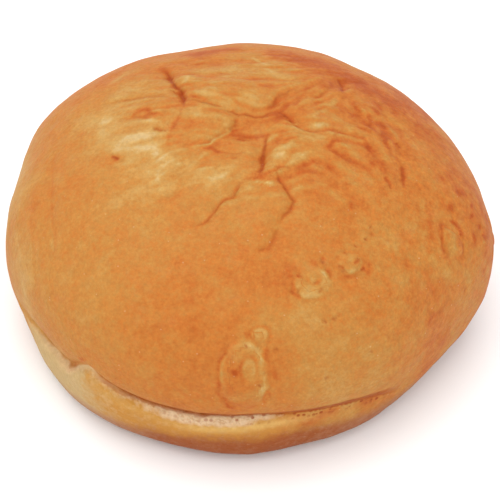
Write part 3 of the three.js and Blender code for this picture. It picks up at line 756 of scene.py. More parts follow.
SMEARS = (
    # The left half and the back of the crown.
    smear(-0.3, 0.7, (-21.2, 27), (-19.6, 27), (-18.1, 25.6)),
    smear(-0.75, 0.6, (-25.5, 9.8), (-24.2, 9.7), (-22.9, 10.1), (-21.3, 8.9), (-19.7, 7.4)),
    smear(-0.35, 0.8, (-23.6, 11.4), (-19.9, 11.6), (-16.6, 11.4)),
    smear(0.35, 0.5, (-30, 18.6), (-27.8, 19.2), (-24.9, 18.8), (-21.5, 17.3), (-17.1, 15.7)),
    smear(0.25, 0.3, (-31.7, 17.1), (-29, 17), (-26.4, 17)),
    smear(0.35, 0.4, (-27.7, 6.7), (-25.6, 7.2), (-23, 7.1), (-19.9, 5.7), (-17.7, 4.1)),
    smear(-0.35, 0.5, (-14.8, 6.4), (-15.8, 3.5), (-17, 1.8), (-17.2, -0.6), (-17.4, -3)),
    smear(-0.2, 0.7, (-29.5, -4.1), (-29.2, -7)),
    smear(-0.6, 0.6, (-9.7, -3), (-8.2, -3.9), (-6.9, -5.3), (-5.4, -6.1)),
    # A painted shadow below the flap's edge, beside the crease that ends at (-4.2, 1.1).
    smear(-0.7, 0.5, (-4.2, 0.8), (-3.1, 1.2), (-1.9, 1.2)),
    smear(-0.3, 0.6, (-4.8, -0.8), (-7, -2.5), (-8.9, -3.5)),
    # A painted highlight along the raised edge of the same flap.
    smear(1.1, 0.4, (-3.1, 2.5), (-4.6, 0.4), (-6.8, -0.9), (-8.7, -2), (-10.4, -1.8)),
    smear(0.25, 1.2, (-3.2, 4.2), (-4.9, 1.9), (-7, 0.4), (-9.7, -0.8)),
    smear(0.5, 0.6, (-12.9, 8.8), (-11.1, 8), (-9.2, 7.8)),
    smear(0.45, 0.9, (-12, 6.8), (-10.9, 6.2), (-9.6, 6.7)),
    smear(-0.12, 2.1, (-15.1, 2.8), (-12.6, 3.1), (-10, 3.2)),
    smear(0.65, 1.9, (-32.7, 10.4), (-31.4, 10.1), (-29.8, 9.7)),
    smear(0.4, 0.9, (-32.8, 7.3), (-31, 5.3), (-29.4, 4.6)),
    smear(0.7, 0.8, (-28.2, 0.8), (-26.7, 1.2), (-25.2, 1.6), (-23.2, 1.7), (-21.1, 0.4)),
    smear(0.7, 0.9, (-23.6, -2.1), (-21.5, -1.3), (-19.3, -2.2)),
    smear(0.7, 0.7, (-22, -4), (-20.5, -4.5), (-19.3, -3.9)),
    smear(0.4, 1.1, (-29.7, -0.2), (-27.9, -1.4), (-25.7, -2.7)),
    smear(0.5, 0.4, (-20.9, -6.6), (-18.8, -6.1), (-16.3, -4.2)),
    smear(0.5, 0.4, (-20.2, -8.3), (-18.1, -8.1), (-15.8, -6.5)),
    smear(0.55, 0.4, (-20.4, -10.6), (-18.3, -10.4), (-16.2, -9.6)),
    smear(0.6, 0.6, (-21, -12.6), (-19.9, -12), (-18.5, -11.2)),
    smear(0.35, 0.4, (-15.4, -8.1), (-13.3, -6.7), (-11.2, -4)),
    smear(0.85, 1.0, (-9.4, -13.1), (-7.7, -12.5), (-5.6, -11.1), (-4.6, -9.7)),
    smear(0.5, 0.5, (-10.4, -14.2), (-8.5, -14.2), (-6.4, -13.6)),
    smear(0.5, 0.9, (-30.5, 23.8), (-28.8, 26.4), (-26.7, 29.1)),
    smear(0.5, 0.5, (-15.2, 18.3), (-13.7, 18.9), (-13.3, 20.5)),
    smear(0.3, 1.9, (-3.6, 12.2), (-0.6, 11.7), (2.9, 10.5)),
    smear(0.75, 0.5, (0.3, 30.4), (1.6, 28.8), (3.4, 25.9)),
    smear(0.6, 0.5, (3.4, 23.5), (5.1, 22.8), (7.3, 23.5)),
    smear(0.45, 0.5, (7.4, 27.9), (9.1, 27.3), (11.3, 26.8)),
    smear(0.5, 0.3, (-7.2, 20.4), (-5.6, 20), (-4.1, 20.6)),
    # These two are painted shade along the far back edge of the crown, which faces away from the light.
    smear(-0.65, 4.2, (5.2, 31.6), (11.4, 29.5), (18, 27.7), (24.6, 23.8), (30, 19.7)),
    smear(-0.6, 2.3, (-14.9, 32.1), (-9.8, 33.9), (-5.3, 34.5), (-0.8, 35)),
    # The right half of the crown.
    smear(-0.45, 1.2, (2.4, 15.1), (3.8, 15.9), (5, 14.5)),
    smear(-0.55, 0.7, (6, -0.2), (7.1, 0.4), (8.2, 0)),
    smear(0.8, 0.8, (4.9, -6.2), (6.4, -6), (8.1, -5.6)),
    smear(0.6, 0.5, (4.7, -4.3), (6.6, -4.2), (9, -3.7), (11.5, -2.1)),
    smear(0.5, 0.4, (7.2, -7.3), (9.8, -6.3), (12.4, -4.8)),
    smear(1, 0.8, (13.3, 3), (15.3, 3.5), (17.4, 4.6)),
    smear(0.6, 0.5, (13.8, 5.5), (15.1, 7.4), (17.5, 9.3)),
    smear(0.5, 0.5, (15, 10), (16.9, 11.7), (19.4, 13.6)),
    smear(0.45, 0.4, (11.6, -0.2), (13.9, -0.4), (16.5, 0.6)),
    smear(-0.8, 0.7, (16.2, -2.1), (17.3, -1.6), (18.6, -0.4)),
    smear(-0.4, 0.7, (19, -1.2), (20.7, -2)),
    smear(-0.65, 0.6, (10.6, -9.1), (12.1, -8.4), (13.6, -7)),
    smear(-0.7, 0.8, (25.8, 14.5), (27.1, 12.9), (27.9, 10.9)),
    smear(-0.75, 1.2, (26.9, 8.4), (28.5, 9), (29.3, 7.2)),
    smear(-0.65, 0.7, (28.5, 5.1), (29.1, 3.2), (29.5, 1)),
    smear(-0.5, 0.7, (21.9, 9.1), (23.4, 9.7)),
    smear(-0.6, 0.5, (22.4, 2.8), (23.9, 2.6), (25.3, 0.8), (26.1, -2.3)),
    smear(-0.35, 0.7, (25.8, -4.2), (26.6, -5.6)),
    smear(-0.35, 0.7, (19.6, -12.6), (20.9, -12.1)),
    smear(-0.35, 0.7, (21.3, -16.3), (21.6, -18.6)),
    smear(0.4, 0.5, (30.6, 8.9), (31.4, 7.1), (31.8, 4.7)),
    smear(0.35, 0.5, (27.2, -2.3), (28.9, -2.9), (31.1, -2.6)),
    smear(0.5, 0.4, (36, 1.4), (36.9, 0.9)),
    smear(1.1, 0.4, (1.3, -13.8), (3.4, -13.9), (5.5, -14.6)),
    smear(0.5, 0.6, (-0.6, -16.3), (0.7, -15.6)),
    smear(-0.3, 0.6, (15.1, 16.2), (16.9, 18.4), (19.2, 21.4)),
    smear(-0.4, 0.7, (13.7, 13.1), (15.5, 14.8)),
    # The right-hand side.
    smear(-0.95, 0.4, (43, -12.3, 39.7), (44.3, -12, 38.2), (45.4, -12.8, 37.1), (45.8, -13.8, 36.4)),
    smear(0.6, 0.8, (43.4, -14.4, 38.1), (43.5, -16.3, 37.1), (43.7, -18, 35.7)),
    smear(-0.95, 0.4, (47.8, -4.9, 37.4), (47.9, -7, 37), (47.8, -8.8, 36.7)),
    smear(-0.9, 0.5, (48.2, -10.9, 35.4), (48.4, -12.4, 34.3), (48.2, -13.8, 33.5)),
    smear(-0.6, 0.7, (43.8, -3.7, 41), (44.9, -4, 40.1), (46.1, -2.6, 39.1)),
    smear(-0.5, 0.7, (42.8, -9.3, 40.9), (43.2, -10.9, 40.1)),
    smear(-0.4, 0.7, (38.6, -10.7, 43.3), (38.7, -15.1, 41.7), (38.3, -20.3, 39.4)),
    smear(-0.6, 0.5, (50.3, -10.2, 33.2), (51.5, -9.8, 31.6)),
    smear(-0.3, 0.7, (50.8, -13.5, 28.5), (51.5, -13.5, 24.4)),
    smear(0.3, 1.2, (47, -18.7, 29.4), (47.6, -18.8, 27.3), (47.7, -19.2, 25.7)),
    smear(0.25, 1.2, (47.3, -19.8, 23.3), (47, -20.2, 21.1)),
    smear(0.4, 0.7, (49, -0.6, 35.8), (49.9, -4.7, 35), (50.2, -7, 34.3)),
    smear(0.35, 0.7, (36.4, -19.9, 41.1), (37, -21, 40.1)),
    smear(0.3, 1.2, (38.8, -22.2, 37.7), (40.5, -22.8, 35.3), (39.6, -25.2, 34.1)),
    smear(0.3, 0.9, (35.6, -26.3, 37.8), (36.9, -28.1, 34.8), (37.8, -28.1, 33.5)),
    smear(0.3, 0.9, (41.9, -20.7, 35.5), (42.1, -22.3, 33.7)),
    smear(-0.35, 0.7, (41.9, -19.6, 36.5), (43.3, -19.5, 34.9)),
    smear(-0.3, 1.4, (32.8, -25.2, 40.8), (33.6, -26.3, 39.6)),
    smear(-0.5, 0.4, (51.2, -3.3, 33), (51.6, -4.6, 32.5)),
    smear(0.9, 0.4, (50.8, -11.2, 32.1), (51, -11.3, 31.5)),
    smear(0.8, 0.4, (48.7, -1.8, 36.4), (48.8, -2.9, 36.3)),
    smear(0.7, 0.4, (45.5, -11.1, 37.8), (45.9, -11.2, 37.3)),
    # The large blister at the front and the small one above it.
    smear(0.8, 0.7, (-1.4, -45.5, 37.5), (0.3, -45.7, 37.3), (1.7, -46.3, 36.5), (2.5, -47.2, 34.8),
          (2.7, -48.4, 32.4)),
    smear(0.9, 0.7, (2.7, -48.8, 31.5), (2.7, -49.6, 28.8), (1.9, -50.1, 26.5)),
    smear(0.35, 1.2, (-0.2, -48, 33.8), (0.1, -48.9, 32.3), (0.3, -49.4, 30.7)),
    smear(-1.1, 0.7, (-3, -48.7, 32.7), (-2.8, -49.2, 31.5)),
    smear(-0.7, 0.8, (5.2, -48, 32.2), (5.4, -48.8, 30)),
    smear(-0.7, 0.7, (3.1, -46.4, 36), (4.2, -46.4, 35.7)),
    smear(-0.5, 0.7, (-4.5, -46.5, 36.1), (-4.1, -47, 35.4)),
    smear(-0.5, 0.7, (-0.8, -44.4, 38.7), (0.1, -44.6, 38.6)),
    smear(0.35, 0.9, (-0.6, -50.3, 27.9), (1.5, -50.2, 26.6)),
    smear(0.3, 1.4, (-2.6, -50.4, 26.8), (-1.2, -50.5, 25)),
    smear(0.35, 1.2, (-5.9, -48.5, 32.4), (-5.7, -49.5, 29.8)),
    smear(0.5, 0.9, (1.9, -43.9, 39.3), (2.7, -44.9, 38.3)),
    smear(0.3, 0.7, (3.6, -49.3, 29.6), (3.6, -49.8, 27.1)),
    smear(-0.35, 0.5, (-6.4, -49.5, 29.2), (-6, -50, 26.7), (-5.1, -50.3, 24.5)),
    smear(-0.65, 0.4, (-4.7, -50.4, 24.2), (-3.7, -50.4, 22.6), (-2.4, -50.3, 21.9)),
    smear(-0.5, 0.4, (4, -49.7, 27.5), (3.6, -50, 25.4), (2.8, -50.2, 23.6)),
    smear(-0.5, 0.4, (0.1, -50.3, 22.2), (1.5, -50.3, 23.2)),
    # The pair of blisters on the right of the front.
    smear(0.2, 1.6, (11.6, -37.6), (14.3, -37.5)),
    smear(-0.35, 1.4, (7.9, -30.8), (8.1, -33.1), (7.9, -35.6)),
    smear(0.5, 0.5, (18.5, -30.5), (20, -31.3), (21.6, -31), (23.3, -29.4)),
    smear(0.35, 0.6, (19.6, -30.2), (21, -29.6), (22.5, -28.3)),
    smear(-0.45, 0.9, (24.4, -28.2), (25, -29.2), (24.4, -30.9)),
    smear(0.7, 0.6, (15.1, -32.9), (15.6, -33.7)),
    smear(0.15, 0.6, (9.5, -37.4), (11, -37.8), (12.4, -37.7), (14.1, -37), (15.5, -35.7)),
    smear(-0.8, 0.4, (10.2, -33.8), (10.4, -34.4)),
    smear(-0.8, 0.4, (8.4, -36.3), (8.9, -37.1)),
    smear(-0.8, 0.4, (15.1, -29.9), (15.3, -30.6)),
    smear(-0.4, 0.5, (13.3, -31), (13.5, -31.8)),
    smear(0.8, 0.5, (19.3, -31.4), (21, -31.4), (22.7, -30.6)),
    # The left-hand side.
    smear(-0.5, 0.6, (-36.2, -36.4, 22.5), (-34.3, -38.1, 24.1)),
    smear(0.2, 1.4, (-50.2, -4.8, 35.1), (-50.2, -10.6, 33), (-49.7, -15.2, 30.4), (-48.8, -19, 26.2),
          (-47.5, -21.7, 23.4)),
    smear(-0.2, 0.9, (-46.4, -6.9, 39.3), (-46.1, -14.9, 36.8), (-45.3, -22.7, 31.1)),
    smear(0.4, 0.4, (-41.8, -16.6, 39.8), (-41.7, -18.4, 38.9), (-41.4, -20.3, 38.4)),
    smear(-0.35, 0.4, (-38.5, -30.5, 14.6), (-37.2, -33.1, 17.5), (-35.9, -35, 20), (-34.6, -37.9, 23.6)),
    # The wall, at the right of the front.
    smear(-0.9, 1.2, (11.7, -45.4, 12.1), (13.9, -44.6, 12.5), (16.4, -43.6, 13.4), (19.4, -42.3, 13.1)),
    smear(-0.3, 1.1, (21.2, -41.4, 11.4), (22.9, -40.4, 11.9), (26.8, -38.2, 11.9), (30.6, -37.2, 14.4)),
    smear(-0.35, 0.9, (8.8, -46.4, 12.1), (10.9, -45.7, 11.9), (15.2, -44.1, 10.6)),
)

PATCHES = (
    patch(0.22, 12, 9, (-33, -33)),
    patch(-0.2, 12, 14, (-4, -30), 25.0),
    patch(0.3, 9, 7, (2, -19)),
    patch(0.15, 7, 8, (22, -24)),
    patch(-0.25, 5, 18, (50, -14)),
    patch(0.16, 9, 7, (15, 5)),
    patch(0.2, 7, 5, (-8, -10)),
    patch(0.2, 20, 9, (-2, 27)),
    patch(0.32, 9, 9, (-27, 12)),
    patch(0.25, 12, 8, (-14, -8), 20.0),
    patch(0.15, 14, 12, (-22, 4)),
    patch(0.12, 6, 6, (12.6, -36)),
    patch(0.45, 9, 6.5, (-25.2, -0.6), -8.0),
    patch(0.3, 9, 5, (-17, -5), -12.0),
    patch(0.5, 4.5, 26, (-50.5, 0)),
    patch(0.12, 16, 34, (-38, -12)),
    patch(0.3, 9, 5.5, (13, -43)),
    patch(0.2, 11, 5, (27, -41)),
    patch(-0.26, 17, 20, (36, 14)),
    patch(0.15, 40, 5, (0, 50)),
    *spots(0.35, 5, (-23.9, -13.5)),
    *spots(0.28, 4.5, (21.9, -43.4)),
    *spots(0.12, 5, (21.3, -43.2)),
    *spots(0.25, 3.5, (-17.6, -13.6), (-10.6, -13.7), (50.5, -15.1), (30.7, 10.4)),
    *spots(0.15, 2.5, (0.9, 0.8), (21.8, 12.2), (30.7, 5.7)),
    *spots(0.18, 7, (-31.3, -17), (-7, -26), (-20.5, -25.3)),
    *spots(0.12, 6, (-11.7, -36.7), (14.7, -44.3)),
    *spots(0.1, 4, (43.1, -23.9)),
    *spots(0.28, 3, (-35.7, 11.7), (-9.9, 13.3), (-5.1, 1.1), (30.4, 13), (11.7, -6.5), (4, -42.1),
           (0.1, -46.8), (3.2, -50), (-5.2, 21.1)),
    *spots(0.38, 3.5, (37.1, 4.4), (37.6, -3.4)),
    *spots(0.2, 3, (44.7, -21.7), (48, -18.8), (10.6, -36.5), (15.3, -34.3), (-1.9, 10), (8.6, -49.1),
           (-6.1, -39.7), (-48.1, -20.7), (20.6, -35.4), (-10.8, 13), (-1.2, -46.9), (43, 16.4),
           (11.3, -7.4), (-2.7, -16.4)),
    *spots(0.16, 5, (29.1, -29.7), (32.7, -30.9), (20, -43.7), (-26.1, 21.7), (0.3, 30.4)),
    *spots(-0.75, 2.5, (6.5, 5.2)),
    *spots(-0.55, 2.5, (2.2, -11.8)),
    *spots(-0.38, 2.5, (-18.5, 9.8), (19.1, 17.2), (12.9, -11.2), (7.7, -1.9), (-14, 12.1)),
    *spots(-0.25, 3, (-46.8, 7.4), (-48.6, 3.4), (-47.6, -5.9), (7.1, -36.5), (25.2, -38), (7.5, -48.4),
           (19.9, -33.6), (-29.6, -3.6), (44.8, 1.8), (26.2, -4.9), (1.5, -3.1), (-13.9, -4.9),
           (-25.6, 12.5), (23.6, -43.5), (17.6, -42), (-10.5, -5.8), (14.5, 18.4), (-20.5, 25.9),
           (26.4, 12.6), (-11.3, 32.9), (-14.6, 21.5), (-4.6, -3), (-15.3, 1), (0.9, -48.7), (27.9, 5.9),
           (21.3, -44.7), (-0.8, 4.4), (8.7, 7.9), (6.3, 33.1)),
    *spots(-0.2, 5, (19.1, -19.4), (-12.1, -40.1), (-6.9, -43.9), (39.6, -29.6), (18.5, -39.9)),
    *spots(-0.08, 4, (43.2, -25.1)),
    *spots(-0.2, 2.5, (-2.6, -49.3), (3.8, -45.9)),
    *spots(-0.25, 5, (-51.7, -8.7), (36.6, 23.9)),
    *spots(-0.2, 4, (-31.4, 28.7), (30.5, 29.9)),
)

# How the dough was drawn out over the crown: places on the plan and the direction there, in degrees.
FLOW = (
    (-30, 14, 0), (-25, 2, -5), (-22, -8, 15), (-14, -9, 30), (-8, -12, 30), (-10, 4, -12), (-4, -4, -12),
    (-5, 14, -20), (-6, 24, 0), (6, 24, 5), (14, 24, 10), (10, 12, 50), (17, 18, 57), (7, -6, 40),
    (13, 3, -20), (20, 2, 10), (24, 3, -30), (26, 12, -60), (30, 2, -70), (30, -8, -65), (20, -8, -30),
    (36, 10, -65), (3, -20, 10), (-40, 0, 80), (40, -14, 85),
)
FLOW_SPREAD = 5.5 * MM
FLOW_BLEND = 0.15

# The tear and the wall below it: pairs of azimuth in degrees and height in millimetres or strength.
TORN = ((180, 0), (212, 1), (300, 1), (330, 0))
LIP_HEIGHT = (
    (180, 18), (198, 15), (208, 14.6), (216, 15), (222, 15.8), (225.5, 18.8), (229.5, 21.4), (235, 19.4),
    (240, 18.7), (262, 18.1), (273, 18.2), (284, 17.6), (293, 16.5), (299, 15.6), (306, 14.1), (312, 12.4),
    (325, 11.2), (340, 12.5), (10, 14), (90, 15),
)
HEALED = ((198, 0), (205, 0.9), (227, 0.9), (233, 0.5), (242, 0))
# How strong the seam's dark brown is, darkened as painted shade of the crevice under the lip.
SEAM_SHADE = (
    (203, 0), (219, 0), (223, 0.2), (226, 0.05), (230, 0.05), (235, 0.45), (243, 0.45), (250, 0.6),
    (272, 0.7), (280, 0.75), (285, 0.9), (300, 0.9), (309, 0.5), (316, 0),
)
# How strongly the milky band under the lip is painted lighter against its shadow.
LIP_LIGHT = (
    (196, 0), (204, 0.3), (212, 0.5), (221, 0.5), (228, 0.3), (236, 0.35), (243, 0.5), (251, 0), (280, 0),
)
PALE_LIP = ((198, 0), (205, 0.4), (216, 0.4), (221, 0.7), (232, 0.8), (246, 0))
# How strong the painted shade of the small holes along the seam is.
HOLES = ((240, 0), (254, 0.3), (268, 0.7), (280, 1), (306, 1), (314, 0))
CRUMB_DEPTH = (
    (226, 0), (234, 2.4), (242, 3.4), (250, 4.2), (268, 4.3), (276, 3.4), (282, 2.4), (288, 0), (320, 0),
)
CRUMB_AMOUNT = (
    (230, 0), (238, 0.35), (246, 0.5), (254, 0.9), (259, 1), (269, 1), (276, 0.65), (281, 0.4), (286, 0),
)
# How far below the lip the base's rim lies, then how strong its painted highlight is on the golden crust.
RIM_DROP = ((226, 3), (242, 4), (256, 4.8), (268, 4.8), (278, 4), (286, 4), (300, 3.4), (320, 3))
RIM_HIGHLIGHT = (
    (226, 0), (238, 0.2), (252, 0.3), (260, 0.8), (276, 0.9), (281, 0.7), (286, 0.3), (296, 0.1), (315, 0),
)
WALL_CREAM = (
    (190, 0.3), (204, 0.7), (214, 1.2), (228, 0.85), (236, 0.35), (248, 0.1), (262, 0.1), (280, 0), (300, 0),
)
WALL_CRUST = (
    (190, 0.2), (206, 0), (262, 0), (276, 0.3), (283, 0.75), (296, 1), (310, 1), (340, 1), (180, 1),
)
FOOT_TOP = (
    (200, 7), (216, 8), (228, 9.5), (240, 10.2), (254, 11.5), (266, 12.2), (278, 12.4), (290, 11.5),
    (300, 10), (312, 10), (340, 9), (90, 9),
)
FOOT_AMOUNT = (
    (200, 0.5), (214, 0.5), (226, 0.85), (240, 0.9), (252, 1.1), (264, 1.2), (290, 1.25), (310, 1.0),
    (90, 0.8),
)
FOOT_DUST = (
    (210, 0.4), (225, 0.3), (238, 0.2), (252, 0), (280, 0), (290, 0.05), (310, 0.15), (330, 0.15), (0, 0),
)


# ---------------------------------------------------------------- the roll


@dataclass
class Roll:
    """The roll's dressed crust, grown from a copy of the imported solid.

    Sizes are in metres, except where a comment says millimetres. A pair of numbers is where a fade
    starts and ends, or the size of lumps and how high or how far they reach.
    """

    name: str = "crust"
    merge_distance: float = 0.00001
    flattest_corner: float = math.radians(60)
    fineness: int = 2
    least_move: float = 0.000001
    least_share: float = 0.002
    table_fade: Span = (0.0004, 0.0030)

    # The healed end of the tear: its height below the lip and its fade in millimetres.
    healed_drop: float = 0.9
    healed_fade: Span = (2.0, 1.2)
    least_healing: float = 0.01
    healing: float = 0.5
    healing_rounds: int = 60

    swelling: Span = (0.013, 0.0009)
    puckers: Span = (0.0034, 0.00022)

    # Streaks of drawn-out dough: how wide, how long and in how many steps. Then, for broad and narrow
    # ones, how high they stand in millimetres and how far they change the tone.
    broad_streaks: tuple[float, float, int] = (0.0024, 0.0060, 7)
    narrow_streaks: tuple[float, float, int] = (0.0011, 0.0034, 6)
    streak_drift: Span = (0.006, 0.0012)
    steepest_streak: float = 1.2
    streak_rise: Span = (0.16, 0.13)
    streak_tone: Span = (0.22, 0.28)

    crown_middle: Span = (0.001, 0.006)
    crown_reach: Span = (0.036, 0.030)
    crown_fade: Span = (1.15, 0.55)
    crown_height: Span = (0.030, 0.040)

    # Flaps of drawn-out dough: their length, width and rise in millimetres, and the bend and wander of
    # an edge at each step in radians.
    flap_seed: int = 5
    flap_count: int = 90
    flap_length: Span = (3.0, 9.0)
    flap_width: Span = (0.9, 2.4)
    flap_rise: Span = (0.12, 0.34)
    flap_tone: Span = (-0.12, 0.20)
    flap_step: float = 0.6 * MM
    flap_bend: Span = (-0.05, 0.05)
    flap_wander: Span = (-0.08, 0.08)
    flap_spread: float = 0.95
    flap_reach: float = 5.0 * MM
    flap_taper: Span = (0.0, 0.35)
    flap_edge: Span = (-0.15 * MM, 0.25 * MM)

    # The painted highlight and the painted shade along a flap's edge: how far from it and how wide, then how
    # strong.
    flap_highlight: Span = (0.5 * MM, 0.6 * MM)
    flap_shade: Span = (-0.25 * MM, 0.55 * MM)
    flap_contrast: float = 0.26

    route_step: float = 0.0005
    route_drift: float = 0.0011
    line_reach: float = 6 * MM
    fold_wobble: float = 0.22 * MM
    fold_taper: Span = (0.0, 0.22)
    fold_fade: Span = (2.0 * MM, 1.0 * MM)
    groove_reach: float = 0.0008
    groove_floor: float = 0.00002
    welt_offset: float = 0.0016
    welt_width: float = 1.3 * MM
    welt_rise: float = 0.0003

    # Where two creases run close together, in millimetres: their gap, and how near the first one still shows.
    rival_gap: Span = (0.5, 0.1)
    rival_near: Span = (0.2, 0.4)

    # Blisters, in shares of a blister's size; their rings, with the width in millimetres.
    blister_reach: float = 2.2
    blister_side: Span = (1.05, 0.55)
    blister_ragged: Span = (0.0022, 0.26)
    ring_gaps: float = 0.0030
    ring_break: Span = (0.25, 0.65)
    ring_width: float = 0.6
    ring_depth: float = 0.0003

    # The wall: heights below the lip and widths in millimetres; the crumb's lower edge and the foot's
    # upper edge as shares of their own heights.
    lip_ragged: Span = (0.0016, 0.5)
    crumb_top: Span = (-0.2, 0.4)
    crumb_foot: Span = (1.3, 0.6)
    least_crumb: float = 0.001
    # The milky band painted lighter under the lip, the rim's painted highlight and the row of holes with
    # painted shade.
    milk_drop: float = 1.1
    milk_width: float = 1.0
    rim_width: float = 1.3
    hole_drop: float = 2.5
    foot_fade: Span = (1.2, 0.4)
    crumb_lumps: Span = (0.0011, 0.0021)
    crumb_rise: float = 0.0005

    # The bake, with the painted shade and highlights added to it: 0 is pale and 1 is brown.
    bake_and_shade: float = 0.57
    tone_share: float = 0.5
    pale_strength: float = 0.75
    brown_strength: float = 0.9
    stroke_wobble: float = 0.3 * MM
    stroke_taper: Span = (-0.12, 0.25)
    stroke_drifts: tuple[Span, Span] = ((0.0042, 0.0007), (0.0014, 0.0005))
    front_fade: Span = (0.005, -0.030)
    right_fade: Span = (0.010, 0.040)

    # How mottled and how floury the crust is everywhere, and how much more in front and on the right.
    mottle: Span = (0.32, 0.20)
    flour: tuple[float, float, float] = (0.15, 0.6, 0.4)

    piece: bpy.types.Object = field(init=False)
    places: np.ndarray = field(init=False)
    tone: np.ndarray = field(init=False)
    lumps: Lumps = field(default_factory=lambda: Lumps(11))

    def build(self) -> bpy.types.Object:
        """Builds the crust: copies the solid, refines it, shapes it and marks it for its finish.

        Returns:
            The finished piece.
        """
        self._copy_solid()
        self._refine()
        self._heal()
        self._knead()
        self._draw_out_crown()
        self._carve_folds()
        self._raise_blisters()
        self._shape_wall()
        self._mark_bake_and_shade()
        self._fit_inside(CAD_BOX)
        self.piece.data.materials.clear()
        self.piece.data.materials.append(CrustFinish().build())
        return self.piece

    def _copy_solid(self) -> None:
        """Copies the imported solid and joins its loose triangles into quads."""
        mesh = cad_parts[NODE].data.copy()
        mesh.name = self.name
        self.piece = bpy.data.objects.new(self.name, mesh)
        bpy.context.collection.objects.link(self.piece)
        only(self.piece)
        bpy.ops.object.mode_set(mode="EDIT")
        bpy.ops.mesh.select_all(action="SELECT")
        bpy.ops.mesh.remove_doubles(threshold=self.merge_distance)
        corner = self.flattest_corner
        bpy.ops.mesh.tris_convert_to_quads(face_threshold=corner, shape_threshold=corner)
        bpy.ops.object.mode_set(mode="OBJECT")
        log.info("solid copied: %d faces", len(mesh.polygons))

    def _refine(self) -> None:
        """Subdivides the copy so that it can carry fine relief."""
        smooth = self.piece.modifiers.new("fineness", "SUBSURF")
        smooth.levels = self.fineness
        smooth.render_levels = self.fineness
        apply(self.piece, smooth)
        only(self.piece)
        bpy.ops.object.shade_smooth()
        self._read_places()

    def _read_places(self) -> None:
        """Notes where the points lie now."""
        flat = np.empty(len(self.piece.data.vertices) * 3)
        self.piece.data.vertices.foreach_get("co", flat)
        self.places = flat.reshape(-1, 3)

    def _azimuths(self) -> np.ndarray:
        """Returns each point's azimuth in degrees."""
        return np.degrees(np.arctan2(self.places[:, 1] - AXIS[1], self.places[:, 0] - AXIS[0])) % 360.0

    def _change(
        self, name: str, kind: str, settings: dict[str, object], weights: np.ndarray, least: float
    ) -> None:
        """Applies a modifier to the crust, as far as each point's weight lets it.

        Args:
            name: What the change is called.
            kind: The modifier's type.
            settings: The modifier's settings.
            weights: A share from 0 to 1 for each point.
            least: The share up to which a point is left alone.
        """
        group = self.piece.vertex_groups.new(name=name)
        for index in np.flatnonzero(weights > least):
            group.add([int(index)], float(weights[index]), "REPLACE")
        modifier = self.piece.modifiers.new(name, kind)
        modifier.vertex_group = group.name
        for key, setting in settings.items():
            setattr(modifier, key, setting)
        apply(self.piece, modifier)
        self.piece.vertex_groups.remove(self.piece.vertex_groups[name])
        self._read_places()

    def _press(self, name: str, heights: np.ndarray) -> None:
        """Moves the crust along its normals, out where a height is above 0 and in where it is below.

        Args:
            name: What the move is called.
            heights: One height for each point, in metres.
        """
        for suffix, way in (("_out", 1.0), ("_in", -1.0)):
            part = np.maximum(heights * way, 0.0)
            most = float(part.max())
            if most > self.least_move:
                settings = {"direction": "NORMAL", "mid_level": 0.0, "strength": most * way}
                self._change(name + suffix, "DISPLACE", settings, part / most, self.least_share)

    def _crown(self) -> np.ndarray:
        """Returns 1 on the crown, where the dough was drawn out, and 0 well away from it."""
        u = (self.places[:, 0] - self.crown_middle[0]) / self.crown_reach[0]
        v = (self.places[:, 1] - self.crown_middle[1]) / self.crown_reach[1]
        return ease(np.hypot(u, v), *self.crown_fade) * ease(self.places[:, 2], *self.crown_height)

    def _heal(self) -> None:
        """Closes the left end of the tear, where the crust still holds to the wall."""
        azimuths = self._azimuths()
        below = around(LIP_HEIGHT, azimuths) - self.places[:, 2] / MM
        weights = around(HEALED, azimuths) * ease(np.abs(below - self.healed_drop), *self.healed_fade)
        settings = {"factor": self.healing, "iterations": self.healing_rounds}
        self._change("healed", "SMOOTH", settings, weights, self.least_healing)

    def _knead(self) -> None:
        """Gives the crust the soft unevenness of hand-shaped dough, but for its flat underside."""
        uneven = self.lumps.swell(self.places, *self.swelling) + self.lumps.swell(self.places, *self.puckers)
        self._press("knead", uneven * ease(self.places[:, 2], *self.table_fade))

    def _flow(self, places: np.ndarray) -> np.ndarray:
        """Returns the direction in which the dough was drawn out, on the plan, at each place."""
        turn = np.zeros((len(places), 2))
        for x, y, angle in FLOW:
            gap = (places[:, 0] - x * MM) ** 2 + (places[:, 1] - y * MM) ** 2
            weight = 1.0 / (gap / FLOW_SPREAD**2 + FLOW_BLEND) ** 2
            turn[:, 0] += weight * math.cos(math.radians(2 * angle))
            turn[:, 1] += weight * math.sin(math.radians(2 * angle))
        half = np.arctan2(turn[:, 1], turn[:, 0]) / 2.0
        return np.column_stack((np.cos(half), np.sin(half)))

    def _streaks(self, size: float, reach: float, steps: int) -> np.ndarray:
        """Draws random lumps out along the flow of the dough.

        Args:
            size: How wide a streak is.
            reach: How far it is drawn out each way.
            steps: How many places along it are read, each way.

        Returns:
            A number around 0 for each point, mostly between -1 and 1.
        """
        flat = self.places * (1.0, 1.0, 0.0)
        flat = self.lumps.drift(flat, *self.streak_drift)
        total = self.lumps.at(flat, size)
        for way in (1.0, -1.0):
            spot = flat.copy()
            heading = self._flow(spot) * way
            for _ in range(steps):
                spot[:, :2] += heading * (reach / steps)
                ahead = self._flow(spot)
                ahead *= np.where(np.sum(ahead * heading, axis=1) < 0.0, -1.0, 1.0)[:, None]
                heading = ahead
                total += self.lumps.at(spot, size)
        total -= total.mean()
        return np.clip(total / (2.0 * total.std()), -self.steepest_streak, self.steepest_streak)

